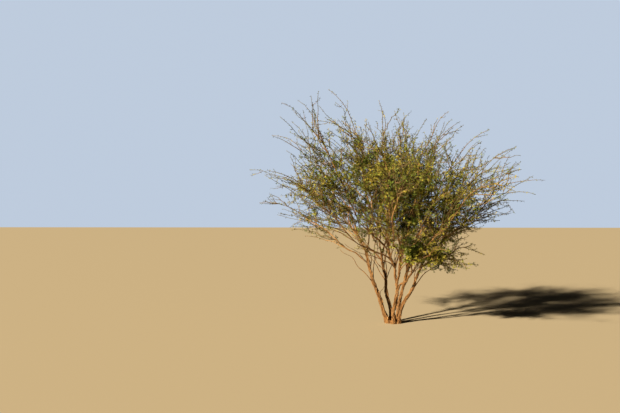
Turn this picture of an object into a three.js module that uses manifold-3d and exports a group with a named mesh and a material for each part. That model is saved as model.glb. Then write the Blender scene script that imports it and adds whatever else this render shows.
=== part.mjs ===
// Acacia tree: a thorn tree of open country, with five stems rising from one root crown.
// It stands about 3.8 m tall and 4.7 m across, and opens from its foot like a vase.
// Millimetres, +Z up. The origin lies on the ground in the middle of the clump of stems.
// Every limb and every mass of foliage grows from the named sizes below by seeded rules.
import * as THREE from "three";
import { mergeVertices } from "three/addons/utils/BufferGeometryUtils.js";
import Module from "manifold-3d";

const wasm = await Module();
wasm.setup();

// Driving dimensions, in millimetres and degrees. Azimuth 0 is +X and 90 is +Y.
const SEED = 638;
const CLEARANCE = 0.38;
const FOCUS = new THREE.Vector3(0, 0, 850);

// The five stems: where each leaves the ground, where it ends, its radii and its lean at the foot
const STEMS = [
  { name: "left_stem", foot: [-66, 0], tip: [-430, 20, 1140], radii: [42, 27], lean: [180, 24] },
  { name: "centre_stem", foot: [5, -38], tip: [70, -70, 600], radii: [40, 32], lean: [300, 4] },
  { name: "right_stem", foot: [86, 0], tip: [450, -40, 930], radii: [35, 25], lean: [0, 6] },
  { name: "back_left_stem", foot: [-30, 76], tip: [-190, 370, 1080], radii: [36, 24], lean: [105, 12] },
  { name: "back_right_stem", foot: [58, 76], tip: [270, 360, 1020], radii: [35, 24], lean: [60, 14] },
];
// The centre stem forks low: three leaders leave it near its top
const LEADERS = [
  { name: "centre_left_leader", along: 1.0, tip: [-70, -160, 1300], radii: [25, 19] },
  { name: "centre_right_leader", along: 0.93, tip: [130, -300, 1220], radii: [24, 18] },
  { name: "front_right_leader", along: 0.86, tip: [300, -210, 850], radii: [22, 17] },
];
// Two broken dead branches that stand on the left stem
const DEAD_SPURS = [
  { name: "dead_spur", along: 0.24, tip: [-128, -40, 620], radii: [10, 5] },
  { name: "dead_stub", along: 0.78, tip: [-545, -30, 1130], radii: [14, 8] },
];
// A stem or leader ends a little steeper than the straight line from its foot to its tip
const STEM_RISE = 0.6;
const LEADER_TURN = 1.2;
const STEM_STEPS = 10;
const STEM_SIDES = 8;
const STEM_WAVER = 22;
const SPUR_STEPS = 4;
const SPUR_WAVER = 6;
const SPUR_STREAM = 20;
// The kinks of a limb: two waves across it and two aside, with their shares of the waver
const WAVES = { across: [7, 14], aside: [8, 13], shares: [0.6, 0.4] };

// Root crown: the flared feet of the stems, grown together
const FLARE = 34;
const CROWN_SHARE = 0.13;
const CROWN_STEPS = 4;
const CROWN_SINK = 70;
const CROWN_EDGE = 2;
const GROUND_CUT = 1000;
const MERGE_WITHIN = 1e-5;

// The crown is four rings of foliage masses and two low ones, each in a cone of its own from FOCUS.
// A mass hangs no further below its axis than its drop, in degrees as seen from FOCUS.
const TIERS = [
  { name: "skirt", count: 8, azimuth: 180, elevation: 29, jitter: 4, drop: 6 },
  { name: "shoulder", count: 7, azimuth: 168, elevation: 50, jitter: 6, drop: 30 },
  { name: "crest", count: 6, azimuth: 200, elevation: 69, jitter: 6, drop: 30 },
  { name: "top", count: 1, azimuth: 0, elevation: 86, jitter: 0, drop: 30 },
];
const LOW_MASSES = [
  { azimuth: -18, elevation: 12, reach: 1470 },
  { azimuth: -52, elevation: 16, reach: 1350 },
];
const LOW_DROP = 12;
// How far the crown reaches from FOCUS at each elevation
const REACH_BY_ELEVATION = [[8, 1400], [28.5, 2620], [49.5, 2990], [70, 2840], [90, 2600]];
const REACH_JITTER = 0.1;
const SWING = 2.6;
const LOPSIDED = 0.09;
const LOP_FROM = 25;
const LOP_TO = 57;
const FRONT_LIFT = 6;
const BARE_SHARE = 0.37;

// Boughs: from a stem or leader to the entry of a mass
const BOUGH_RADII = [17, 10.5];
const LOW_BOUGH_RADIUS = 13.5;
const BOUGH_STEPS = 6;
const BOUGH_SIDES = 5;
const BOUGH_WAVER = 18;
const WAVER_SPAN = 650;
const BOUGH_TRIES = 14;
const CROWDING = 9;
const WIDER_EACH_TRY = 0.25;
const FORK_ANGLE = 40;
const FORK_SPACING = 0.08;
const FORK_STEP = 0.02;
const HIGHEST_FORK = 0.96;
const LOWEST_FORK = 0.36;
const ALONG_CARRIER = 0.9;
const ENTRY_RISE = 14;
const STEEPEST = 89;
const COLLAR = 5;
const COLLAR_SHARE = 0.14;
const SUNK = 6;
const JUNCTION = 120;
const LIMB_SPACE = 5;

// Twigs and leaves of a mass
const LEADER_STEPS = 12;
const LEADER_RADII = [9.5, 4];
const LEADER_WAVER = 60;
const LEADER_DROOP = { least: 30, spread: 14 };
const SHOOTS = 7;
const SHOOT_STEPS = 8;
const SHOOT_RADII = [7, 4];
const FEWEST_POINTS = 4;
// Where shoots leave the leader, in shares of its length, and how far they stand off it
const SHOOT_PLACE = { first: 0.04, span: 0.84, off: 18, offSpread: 24, rollSpread: 0.6 };
// Their length as a share of the bare leader's, longer near its foot, and how far out they may reach
const SHOOT_LENGTH = { tip: 0.24, foot: 0.66, least: 0.7, spread: 0.5, reach: 0.7, reachSpread: 0.18 };
const LONG_SHOOT = { chance: 0.22, longer: 1.15, reach: 0.97 };
// How a shoot bends at each step: its zigzag, its sway, and its pulls up, outwards and over
const SHOOT_BEND = { zigzag: 0.28, sway: 0.5, up: 0.04, axis: 0.1, arch: 0.2, out: 0.7 };
const COARSE_STEP = 3;
const TWIG_SIDES = 3;
const CONE_MARGIN = 8;
const TWIG_SPACE = 4;
const GOLDEN_SHARE = 0.618034;
const GOLDEN_ANGLE = Math.PI * (3 - Math.sqrt(5));
// Leaves on each piece of a twig. A mass with few shoots has more of them on its leader.
const LEAVES_PER_PIECE = { leader: 2, bareLeader: 3, shoot: 1 };
const FEW_SHOOTS = 3;
const LEAF = { length: 155, width: 62, thick: 13, root: 2.5 };
const LEAF_SET = { off: 38, offSpread: 20, least: 0.85, spread: 0.3 };
const LEAF_PLACE = 0.6;
const LEAF_MARGIN = 1.5;
const SMALLEST_EDGE = 0.02;

const UP = new THREE.Vector3(0, 0, 1);
const radians = THREE.MathUtils.degToRad;
const vector = (x, y, z) => new THREE.Vector3(x, y, z);

// A stream of even random numbers from 0 to 1, always the same for the same seed
function seeded(seed) {
  let state = seed >>> 0;
  return () => {
    state = (state + 0x6d2b79f5) >>> 0;
    let mixed = state;
    mixed = Math.imul(mixed ^ (mixed >>> 15), mixed | 1);
    mixed ^= mixed + Math.imul(mixed ^ (mixed >>> 7), mixed | 61);
    return ((mixed ^ (mixed >>> 14)) >>> 0) / 4294967296;
  };
}

// Each limb, leader, shoot and leaf draws from a stream of its own
const STREAMS = { stem: 11, bough: 23, leader: 37, shoot: 53, leaf: 71 };
function stream(kind, first = 0, second = 0) {
  return seeded(SEED * 7919 + STREAMS[kind] * 104729 + first * 1009 + second * 53);
}

function polar(azimuth, elevation) {
  const level = Math.cos(radians(elevation));
  const east = level * Math.cos(radians(azimuth));
  const north = level * Math.sin(radians(azimuth));
  return vector(east, north, Math.sin(radians(elevation)));
}

// Two directions square to a given one and to each other
function sideAxes(direction) {
  const reference = Math.abs(direction.z) < 0.9 ? UP : vector(1, 0, 0);
  const first = direction.clone().cross(reference).normalize();
  return [first, direction.clone().cross(first)];
}

// A direction turned off its own line by an angle, towards a roll about that line
function turned(direction, off, roll) {
  const [first, second] = sideAxes(direction);
  return direction.clone().multiplyScalar(Math.cos(off))
    .addScaledVector(first, Math.sin(off) * Math.cos(roll))
    .addScaledVector(second, Math.sin(off) * Math.sin(roll));
}

function interpolate(table, value) {
  const last = table[table.length - 1];
  if (value <= table[0][0]) return table[0][1];
  for (let i = 1; i < table.length; i += 1) {
    const [x0, y0] = table[i - 1];
    const [x1, y1] = table[i];
    if (value <= x1) return y0 + ((y1 - y0) * (value - x0)) / (x1 - x0);
  }
  return last[1];
}

// A smooth path between two points that leaves and arrives in given directions
const START_PULL = 0.4;
const END_PULL = 0.35;
function bowed(from, fromDirection, to, toDirection, steps) {
  const span = from.distanceTo(to);
  const second = from.clone().addScaledVector(fromDirection, span * START_PULL);
  const third = to.clone().addScaledVector(toDirection, -span * END_PULL);
  return new THREE.CubicBezierCurve3(from, second, third, to).getPoints(steps);
}

// The slight kinks of a real limb: two waves each way that die out at both ends
function wavered(path, amount, random) {
  const steps = path.length - 1;
  const [first, second] = sideAxes(path[steps].clone().sub(path[0]).normalize());
  const phases = [0, 0, 0, 0].map(() => random() * 2 * Math.PI);
  return path.map((point, i) => {
    const t = i / steps;
    const fade = amount * Math.sin(Math.PI * t);
    const wave = ([slow, quick], phase) => (
      WAVES.shares[0] * Math.sin(slow * t + phases[phase])
      + WAVES.shares[1] * Math.sin(quick * t + phases[phase + 1]));
    return point.clone()
      .addScaledVector(first, fade * wave(WAVES.across, 0))
      .addScaledVector(second, fade * wave(WAVES.aside, 2));
  });
}

// The point and the direction at a share of the way along a path
function at(path, share) {
  const steps = path.length - 1;
  const index = Math.min(steps - 1, Math.floor(share * steps));
  const rest = share * steps - index;
  const point = path[index].clone().lerp(path[index + 1], rest);
  const direction = path[index + 1].clone().sub(path[index]).normalize();
  return { point, direction };
}

function stretch(path, from, to, steps) {
  const points = [];
  for (let i = 0; i <= steps; i += 1) points.push(at(path, from + ((to - from) * i) / steps).point);
  return points;
}

function distanceToSegment(point, from, to) {
  const line = new THREE.Line3(from, to);
  return line.closestPointToPoint(point, true, vector(0, 0, 0)).distanceTo(point);
}

// A closed mesh becomes a solid once only its positions are left and shared corners are merged
function solidOf(geometry) {
  geometry.deleteAttribute("normal");
  geometry.deleteAttribute("uv");
  const merged = mergeVertices(geometry, MERGE_WITHIN);
  const vertProperties = new Float32Array(merged.attributes.position.array);
  const triVerts = new Uint32Array(merged.index.array);
  return new wasm.Manifold(new wasm.Mesh({ numProp: 3, vertProperties, triVerts }));
}

// The frames of a limb's rings, square to its path and carried along it without a twist
function ringsOf(path) {
  const last = path.length - 1;
  let across = null;
  return path.map((centre, i) => {
    const before = path[Math.max(0, i - 1)];
    const after = path[Math.min(last, i + 1)];
    const direction = after.clone().sub(before).normalize();
    if (!across) [across] = sideAxes(direction);
    across = across.clone().addScaledVector(direction, -across.dot(direction)).normalize();
    return { centre, across, aside: across.clone().cross(direction) };
  });
}

// A round limb along a path: a cylinder bent so that each of its rings takes its frame
function limbSolid(path, radiusAt, sides) {
  const steps = path.length - 1;
  const geometry = new THREE.CylinderGeometry(1, 1, 1, sides, steps, false);
  const rings = ringsOf(path);
  const position = geometry.attributes.position;
  for (let v = 0; v < position.count; v += 1) {
    const index = Math.round((position.getY(v) + 0.5) * steps);
    const radius = radiusAt(index / steps);
    const corner = rings[index].centre.clone()
      .addScaledVector(rings[index].across, position.getX(v) * radius)
      .addScaledVector(rings[index].aside, position.getZ(v) * radius);
    position.setXYZ(v, corner.x, corner.y, corner.z);
  }
  return solidOf(geometry);
}

// The space that a neighbour leaves free: the limb, larger by the clearance all round
function keepOut(path, radiusAt, sides) {
  const last = path.length - 1;
  const longer = path.slice();
  const back = path[0].clone().sub(path[1]).normalize();
  const on = path[last].clone().sub(path[last - 1]).normalize();
  longer[0] = path[0].clone().addScaledVector(back, CLEARANCE);
  longer[last] = path[last].clone().addScaledVector(on, CLEARANCE);
  const clear = CLEARANCE / Math.cos(Math.PI / sides);
  return limbSolid(longer, (t) => radiusAt(t) + clear, sides);
}

// One body: loose scraps and sealed hollows are left out
function largestPart(solid) {
  const parts = solid.decompose();
  let best = parts[0];
  for (const part of parts) if (part.volume() > best.volume()) best = part;
  return best;
}

const limbs = [];
const group = new THREE.Group();

const finish = (color, roughness) => new THREE.MeshStandardMaterial({ color, roughness, metalness: 0 });
const barkMaterial = () => finish(0x8f6238, 0.93);
const deadWoodMaterial = () => finish(0x5d5045, 0.96);
const foliageMaterial = () => finish(0x6c7b30, 0.82);

// A named mesh that stands at its own foot in the tree
function addMesh(parent, name, solid, foot, material) {
  const { vertProperties, triVerts, numProp } = solid.getMesh();
  const positions = new Float32Array((vertProperties.length / numProp) * 3);
  for (let v = 0; v < positions.length / 3; v += 1) {
    positions[v * 3] = vertProperties[v * numProp] - foot.x;
    positions[v * 3 + 1] = vertProperties[v * numProp + 1] - foot.y;
    positions[v * 3 + 2] = vertProperties[v * numProp + 2] - foot.z;
  }
  const geometry = new THREE.BufferGeometry();
  geometry.setAttribute("position", new THREE.BufferAttribute(positions, 3));
  geometry.setIndex(new THREE.BufferAttribute(new Uint32Array(triVerts), 1));
  geometry.computeVertexNormals();
  const mesh = new THREE.Mesh(geometry, material);
  mesh.name = name;
  mesh.position.copy(foot);
  parent.add(mesh);
  return mesh;
}

function limbNamed(name) {
  return limbs.find((limb) => limb.name === name);
}

// The radius of a tapering limb, with a collar where it leaves its parent
function tapered([start, end], collar) {
  return (t) => {
    const swell = Math.max(0, 1 - t / COLLAR_SHARE);
    return start + (end - start) * t + collar * swell * swell;
  };
}

// The free space between a path and the limbs that are there already, away from its own junction
function roomAround(path, radiusAt) {
  const start = path[0];
  const steps = path.length - 1;
  let room = Infinity;
  for (let i = 1; i <= 2 * steps; i += 1) {
    const t = i / (2 * steps);
    const { point } = at(path, t);
    if (point.distanceTo(start) < JUNCTION) continue;
    for (const limb of limbs) {
      for (let k = 1; k < limb.path.length; k += 1) {
        const gap = distanceToSegment(point, limb.path[k - 1], limb.path[k]);
        const limbRadius = limb.radiusAt((k - 0.5) / (limb.path.length - 1));
        room = Math.min(room, gap - limbRadius - radiusAt(t));
      }
    }
  }
  return room;
}

// Of several wavering paths, the first with room round it, or else the roomiest
function roomiest(smooth, amount, radiusAt, number) {
  let best = null;
  for (let attempt = 0; attempt < BOUGH_TRIES; attempt += 1) {
    const wider = amount * (1 + WIDER_EACH_TRY * attempt);
    const path = wavered(smooth, wider, stream("bough", number, attempt));
    const room = roomAround(path, radiusAt);
    if (!best || room > best.room) best = { path, room };
    if (room > LIMB_SPACE) break;
  }
  return best.path;
}

// The limb's solid, cut clear of every limb made before it
function addLimb(parent, limb, sides, material) {
  let solid = limbSolid(limb.path, limb.radiusAt, sides);
  for (const other of limbs) solid = solid.subtract(other.keepOut);
  limb.keepOut = keepOut(limb.path, limb.radiusAt, sides);
  limbs.push(limb);
  const whole = largestPart(solid).simplify(SMALLEST_EDGE);
  addMesh(parent, limb.name, whole, limb.path[0], material);
}

// Stems: the whole path of each is known first, because its foot belongs to the root crown
function stemPath(stem, index) {
  const foot = vector(stem.foot[0], stem.foot[1], 0);
  const tip = vector(...stem.tip);
  const leave = polar(stem.lean[0], 90 - stem.lean[1]);
  const arrive = tip.clone().sub(foot).normalize().addScaledVector(UP, STEM_RISE).normalize();
  const smooth = bowed(foot, leave, tip, arrive, STEM_STEPS);
  return wavered(smooth, STEM_WAVER, stream("stem", index));
}

// The flared foot of one stem, from below the ground to the height where the stem stands alone
function flaredFoot(stem, path) {
  const { point, direction } = at(path, 0);
  const below = point.addScaledVector(direction, -CROWN_SINK);
  const points = [below, ...stretch(path, 0, CROWN_SHARE, CROWN_STEPS)];
  const start = stem.radii[0] + CROWN_EDGE;
  const radiusAt = (t) => start + FLARE * Math.max(0, 1 - t * (1 + 1 / CROWN_STEPS) + 1 / CROWN_STEPS) ** 2;
  return { points, radiusAt };
}

function makeRootCrown(parent, paths) {
  const above = new THREE.BoxGeometry(GROUND_CUT, GROUND_CUT, GROUND_CUT).translate(0, 0, GROUND_CUT / 2);
  let crown = null;
  let space = null;
  STEMS.forEach((stem, index) => {
    const { points, radiusAt } = flaredFoot(stem, paths[index]);
    const foot = limbSolid(points, radiusAt, STEM_SIDES);
    const footSpace = keepOut(points, radiusAt, STEM_SIDES);
    crown = crown ? crown.add(foot) : foot;
    space = space ? space.add(footSpace) : footSpace;
  });
  const whole = largestPart(crown.intersect(solidOf(above))).simplify(SMALLEST_EDGE);
  addMesh(parent, "root_crown", whole, vector(0, 0, 0), barkMaterial());
  const centre = [vector(0, 0, 0), vector(0, 0, 1)];
  limbs.push({ name: "root_crown", path: centre, radiusAt: () => 1, keepOut: space });
}

function makeStems(parent) {
  const paths = STEMS.map(stemPath);
  makeRootCrown(parent, paths);
  STEMS.forEach((stem, index) => {
    const length = paths[index][0].distanceTo(vector(...stem.tip));
    const path = stretch(paths[index], CROWN_SHARE - SUNK / length, 1, STEM_STEPS);
    const limb = { name: stem.name, path, radiusAt: tapered(stem.radii, 0) };
    addLimb(parent, limb, STEM_SIDES, barkMaterial());
  });
  LEADERS.forEach((leader, index) => {
    const { point, direction } = at(limbNamed("centre_stem").path, leader.along);
    const tip = vector(...leader.tip);
    const straight = tip.clone().sub(point).normalize();
    const leave = direction.clone().addScaledVector(straight, LEADER_TURN).normalize();
    const arrive = straight.clone().addScaledVector(UP, STEM_RISE).normalize();
    const smooth = bowed(point.addScaledVector(direction, -SUNK), leave, tip, arrive, STEM_STEPS);
    const path = wavered(smooth, STEM_WAVER, stream("stem", STEMS.length + index));
    const limb = { name: leader.name, path, radiusAt: tapered(leader.radii, COLLAR) };
    addLimb(parent, limb, STEM_SIDES, barkMaterial());
  });
}

function makeDeadSpurs(parent) {
  DEAD_SPURS.forEach((spur, index) => {
    const { point, direction } = at(limbNamed("left_stem").path, spur.along);
    const tip = vector(...spur.tip);
    const straight = tip.clone().sub(point).normalize();
    const smooth = bowed(point, direction.add(straight).normalize(), tip, straight, SPUR_STEPS);
    const path = wavered(smooth, SPUR_WAVER, stream("stem", SPUR_STREAM + index));
    const limb = { name: spur.name, path, radiusAt: tapered(spur.radii, 0) };
    addLimb(parent, limb, BOUGH_SIDES, deadWoodMaterial());
  });
}

// Where each mass lies: its axis from FOCUS and how far it reaches
function layOutMasses() {
  const masses = [];
  const random = seeded(SEED);
  for (const tier of TIERS) {
    for (let i = 0; i < tier.count; i += 1) {
      const swing = (random() - 0.5) * SWING * tier.jitter;
      const azimuth = tier.azimuth + (360 / tier.count) * i + swing;
      let elevation = tier.elevation + (random() - 0.5) * 2 * tier.jitter;
      if (tier.name === "skirt") elevation += FRONT_LIFT * Math.max(0, -Math.sin(radians(azimuth)));
      const side = Math.cos(radians(azimuth - 180));
      const lop = 1 + LOPSIDED * side * Math.sin(2 * radians(Math.min(elevation, LOP_TO) - LOP_FROM));
      const spread = 1 + (random() - 0.5) * REACH_JITTER;
      const reach = interpolate(REACH_BY_ELEVATION, elevation) * spread * lop;
      const lowest = elevation - tier.drop;
      const name = `${tier.name}_${i + 1}`;
      masses.push({ name, azimuth, elevation, reach, lowest, radius: BOUGH_RADII[0] });
    }
  }
  LOW_MASSES.forEach((low, i) => {
    const lowest = low.elevation - LOW_DROP;
    masses.push({ name: `low_${i + 1}`, ...low, lowest, radius: LOW_BOUGH_RADIUS });
  });
  masses.forEach((mass, number) => {
    mass.number = number;
    mass.axis = polar(mass.azimuth, mass.elevation);
    mass.entry = FOCUS.clone().addScaledVector(mass.axis, mass.reach * BARE_SHARE);
  });
  return masses;
}

// Each mass is carried by the stem or leader that points its way and isn't crowded yet
function shareOut(masses) {
  const carriers = [...STEMS, ...LEADERS].map((stem) => limbNamed(stem.name));
  const free = carriers.filter((limb) => limb.name !== "centre_stem");
  free.forEach((limb) => {
    limb.load = 0;
    limb.heading = limb.path[limb.path.length - 1].clone().sub(FOCUS).normalize();
  });
  const lowestFirst = masses.slice().sort((a, b) => a.elevation - b.elevation);
  for (const mass of lowestFirst) {
    const cost = (limb) => THREE.MathUtils.radToDeg(limb.heading.angleTo(mass.axis)) + CROWDING * limb.load;
    mass.carrier = free.reduce((best, limb) => (cost(limb) < cost(best) ? limb : best));
    mass.carrier.load += 1;
  }
  free.forEach((limb) => placeForks(limb, lowestFirst.filter((mass) => mass.carrier === limb)));
}

function forkAngle(limb, share, mass) {
  const { point, direction } = at(limb.path, share);
  return THREE.MathUtils.radToDeg(direction.angleTo(mass.entry.clone().sub(point)));
}

// The bough that turns least goes on from the limb's tip. Each of the others leaves its side, as
// high as it can at a narrow angle, and a little away from the forks above it.
function placeForks(limb, carried) {
  const straightest = carried.reduce((best, mass) => (
    forkAngle(limb, 1, mass) < forkAngle(limb, 1, best) ? mass : best));
  straightest.share = 1;
  const taken = [];
  for (const mass of carried.slice().reverse()) {
    if (mass === straightest) continue;
    const crowded = (share) => taken.some((other) => Math.abs(other - share) < FORK_SPACING);
    const wide = (share) => forkAngle(limb, share, mass) > FORK_ANGLE;
    let share = HIGHEST_FORK;
    while (share > LOWEST_FORK && (crowded(share) || wide(share))) share -= FORK_STEP;
    mass.share = share;
    taken.push(share);
  }
}

// The bough of a mass, from its fork on the stem or leader to the entry of the mass
function makeBough(parent, mass) {
  const { point, direction } = at(mass.carrier.path, mass.share);
  if (mass.share === 1) point.addScaledVector(direction, -SUNK);
  const leave = direction.clone().multiplyScalar(ALONG_CARRIER);
  leave.add(mass.entry.clone().sub(point).normalize()).normalize();
  const arrive = polar(mass.azimuth, Math.min(STEEPEST, mass.elevation + ENTRY_RISE));
  const smooth = bowed(point, leave, mass.entry, arrive, BOUGH_STEPS);
  const radiusAt = tapered([mass.radius, BOUGH_RADII[1]], COLLAR);
  const amount = BOUGH_WAVER * Math.min(1, point.distanceTo(mass.entry) / WAVER_SPAN);
  const path = roomiest(smooth, amount, radiusAt, mass.number);
  mass.bough = { name: `bough_${mass.name}`, path, radiusAt };
  addLimb(parent, mass.bough, BOUGH_SIDES, barkMaterial());
}

// Whether a point lies in the mass's own cone: nearer its axis than any other mass's, and not too low
function inCone(mass, masses, point, margin) {
  const offset = point.clone().sub(FOCUS);
  if (offset.z < Math.hypot(offset.x, offset.y) * Math.tan(radians(mass.lowest))) return false;
  return masses.every((other) => {
    if (other === mass) return true;
    const across = mass.axis.clone().sub(other.axis).normalize();
    return offset.dot(across) >= margin;
  });
}

function clearOfLimbs(point, space) {
  return limbs.every((limb) => {
    for (let k = 1; k < limb.path.length; k += 1) {
      const gap = distanceToSegment(point, limb.path[k - 1], limb.path[k]);
      if (gap < limb.radiusAt((k - 0.5) / (limb.path.length - 1)) + space) return false;
    }
    return true;
  });
}

// A shoot zigzags from its start, lifts, leans outwards and arches over, until it leaves its space
function shootPath(mass, start, heading, length, random, allowed) {
  const points = [start];
  const roll = random() * 2 * Math.PI;
  const [first, second] = sideAxes(heading);
  const outward = vector(mass.axis.x, mass.axis.y, 0).normalize();
  let direction = heading;
  for (let i = 0; i < SHOOT_STEPS; i += 1) {
    const kink = SHOOT_BEND.zigzag * (i % 2 ? 1 : -1);
    const sway = (random() - 0.5) * SHOOT_BEND.sway;
    const swing = (random() - 0.5) * SHOOT_BEND.sway;
    const arch = (SHOOT_BEND.arch * i) / SHOOT_STEPS;
    direction = direction.clone()
      .addScaledVector(first, kink * Math.cos(roll) + sway)
      .addScaledVector(second, kink * Math.sin(roll) + swing)
      .addScaledVector(UP, SHOOT_BEND.up - arch)
      .addScaledVector(mass.axis, SHOOT_BEND.axis)
      .addScaledVector(outward, SHOOT_BEND.out * arch)
      .normalize();
    const next = points[i].clone().addScaledVector(direction, length / SHOOT_STEPS);
    if (!allowed(next)) break;
    points.push(next);
  }
  return points;
}

// The leader of a mass runs from the bough's tip to the furthest reach and arches over on the way
function leaderPath(mass) {
  const random = stream("leader", mass.number);
  const tip = FOCUS.clone().addScaledVector(mass.axis, mass.reach);
  const droop = LEADER_DROOP.least + LEADER_DROOP.spread * random();
  const arrive = polar(mass.azimuth, mass.elevation - droop);
  const path = mass.bough.path;
  const { direction } = at(path, 1);
  const smooth = bowed(path[path.length - 1].clone(), direction, tip, arrive, LEADER_STEPS);
  return wavered(smooth, LEADER_WAVER, random);
}

// The first shoots of a mass, set round its leader by the golden angle
function massShoots(mass, masses, leader) {
  const roll0 = stream("leader", mass.number, 1)() * 2 * Math.PI;
  const full = mass.reach * (1 - BARE_SHARE);
  const shoots = [];
  for (let i = 0; i < SHOOTS; i += 1) {
    const random = stream("shoot", mass.number, i);
    const t = SHOOT_PLACE.first + SHOOT_PLACE.span * ((0.5 + i * GOLDEN_SHARE) % 1);
    const off = radians(SHOOT_PLACE.off + SHOOT_PLACE.offSpread * random());
    const roll = roll0 + i * GOLDEN_ANGLE + SHOOT_PLACE.rollSpread * (random() - 0.5);
    const vigour = SHOOT_LENGTH.least + SHOOT_LENGTH.spread * random();
    const long = random() < LONG_SHOOT.chance;
    const reach = long ? LONG_SHOOT.reach : SHOOT_LENGTH.reach + SHOOT_LENGTH.reachSpread * random();
    const share = (SHOOT_LENGTH.foot * (1 - t) + SHOOT_LENGTH.tip) * (long ? LONG_SHOOT.longer : 1);
    const length = full * share * vigour;
    const { point, direction } = at(leader, t);
    const allowed = (next) => next.distanceTo(FOCUS) < mass.reach * reach
      && inCone(mass, masses, next, CONE_MARGIN)
      && clearOfLimbs(next, TWIG_SPACE + SHOOT_RADII[0]);
    const path = shootPath(mass, point, turned(direction, off, roll), length, random, allowed);
    if (path.length >= FEWEST_POINTS) shoots.push(coarse(path));
  }
  return shoots;
}

// A few points of a path, and its last one
function coarse(path) {
  const last = path.length - 1;
  return path.filter((point, i) => i % COARSE_STEP === 0 || i === last);
}

function twigSolid(path, [start, end]) {
  return limbSolid(path, (t) => start + (end - start) * t, TWIG_SIDES);
}

// A leaf, larger than life because it stands for a spray: eight faces, its root sunk in the twig
function leafSolid(mass, masses, point, direction, side, random) {
  const off = radians(LEAF_SET.off + LEAF_SET.offSpread * random());
  const heading = direction.clone().multiplyScalar(Math.cos(off)).addScaledVector(side, Math.sin(off));
  const size = LEAF_SET.least + LEAF_SET.spread * random();
  const across = heading.clone().cross(mass.axis).normalize();
  const face = heading.clone().cross(across);
  const geometry = new THREE.OctahedronGeometry(1, 0);
  geometry.scale((LEAF.length * size) / 2, (LEAF.width * size) / 2, LEAF.thick / 2);
  geometry.translate((LEAF.length * size) / 2 - LEAF.root, 0, 0);
  geometry.applyMatrix4(new THREE.Matrix4().makeBasis(heading, across, face).setPosition(point));
  const position = geometry.attributes.position;
  for (let v = 0; v < position.count; v += 1) {
    const corner = vector(0, 0, 0).fromBufferAttribute(position, v);
    if (!inCone(mass, masses, corner, LEAF_MARGIN)) return null;
    if (corner.distanceTo(FOCUS) > mass.reach + LEAF.width) return null;
  }
  const tip = point.clone().addScaledVector(heading, LEAF.length * size);
  const middle = point.clone().addScaledVector(heading, (LEAF.length * size) / 2);
  const space = TWIG_SPACE + LEAF.width / 2;
  if (!clearOfLimbs(middle, space) || !clearOfLimbs(tip, TWIG_SPACE)) return null;
  if (!clearOfLimbs(point, LEAF.root + TWIG_SPACE)) return null;
  return solidOf(geometry);
}

// Leaves at even steps along each piece of a twig. Each leaves the middle of one of its three flats.
function leavesOn(mass, masses, path, firstPiece, leavesPerPiece, number) {
  const random = stream("leaf", mass.number, number);
  const rings = ringsOf(path);
  const leaves = [];
  let flat = Math.floor(random() * TWIG_SIDES);
  for (let piece = firstPiece; piece < path.length - 1; piece += 1) {
    for (let i = 0; i < leavesPerPiece; i += 1) {
      const share = (piece + (i + LEAF_PLACE) / leavesPerPiece) / (path.length - 1);
      const { point, direction } = at(path, share);
      const angle = ((flat + 0.5) * 2 * Math.PI) / TWIG_SIDES;
      const side = rings[piece].across.clone().multiplyScalar(Math.sin(angle))
        .addScaledVector(rings[piece].aside, Math.cos(angle));
      side.addScaledVector(direction, -side.dot(direction)).normalize();
      const leaf = leafSolid(mass, masses, point, direction, side, random);
      if (leaf) leaves.push(leaf);
      flat += 1;
    }
  }
  return leaves;
}

function makeMass(parent, mass, masses) {
  const fine = leaderPath(mass);
  const leader = coarse(fine);
  const { direction } = at(mass.bough.path, 1);
  const sunkLeader = [leader[0].clone().addScaledVector(direction, -SUNK), ...leader.slice(1)];
  let solid = twigSolid(sunkLeader, LEADER_RADII);
  const shoots = massShoots(mass, masses, leader);
  const crowd = shoots.length < FEW_SHOOTS ? LEAVES_PER_PIECE.bareLeader : LEAVES_PER_PIECE.leader;
  const leaves = leavesOn(mass, masses, leader, 1, crowd, 0);
  shoots.forEach((path, i) => {
    solid = solid.add(twigSolid(path, SHOOT_RADII));
    leaves.push(...leavesOn(mass, masses, path, 0, LEAVES_PER_PIECE.shoot, i + 1));
  });
  for (const leaf of leaves) solid = solid.add(leaf);
  solid = solid.subtract(mass.bough.keepOut);
  const whole = largestPart(solid).simplify(SMALLEST_EDGE);
  addMesh(parent, `foliage_${mass.name}`, whole, leader[0], foliageMaterial());
}

const stemGroup = new THREE.Group();
const boughGroup = new THREE.Group();
const foliageGroup = new THREE.Group();
group.add(stemGroup, boughGroup, foliageGroup);
makeStems(stemGroup);
makeDeadSpurs(stemGroup);
const masses = layOutMasses();
shareOut(masses);
masses.forEach((mass) => makeBough(boughGroup, mass));
masses.forEach((mass) => makeMass(foliageGroup, mass, masses));

export default group;
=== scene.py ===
"""Looks of the acacia tree: barked stems and boughs, fine twigs, and sprays of small leaves.

Metres, +Z up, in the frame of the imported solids. The tree grows here by the same seeded rule as
its solids, with the same streams of random numbers, so every bough and every first shoot lies
where its solid does. The rule is then carried on to finer twigs and to the leaves they bear.
"""

from __future__ import annotations

import logging
import math
from collections.abc import Sequence
from dataclasses import dataclass, field
from enum import Enum

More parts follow.
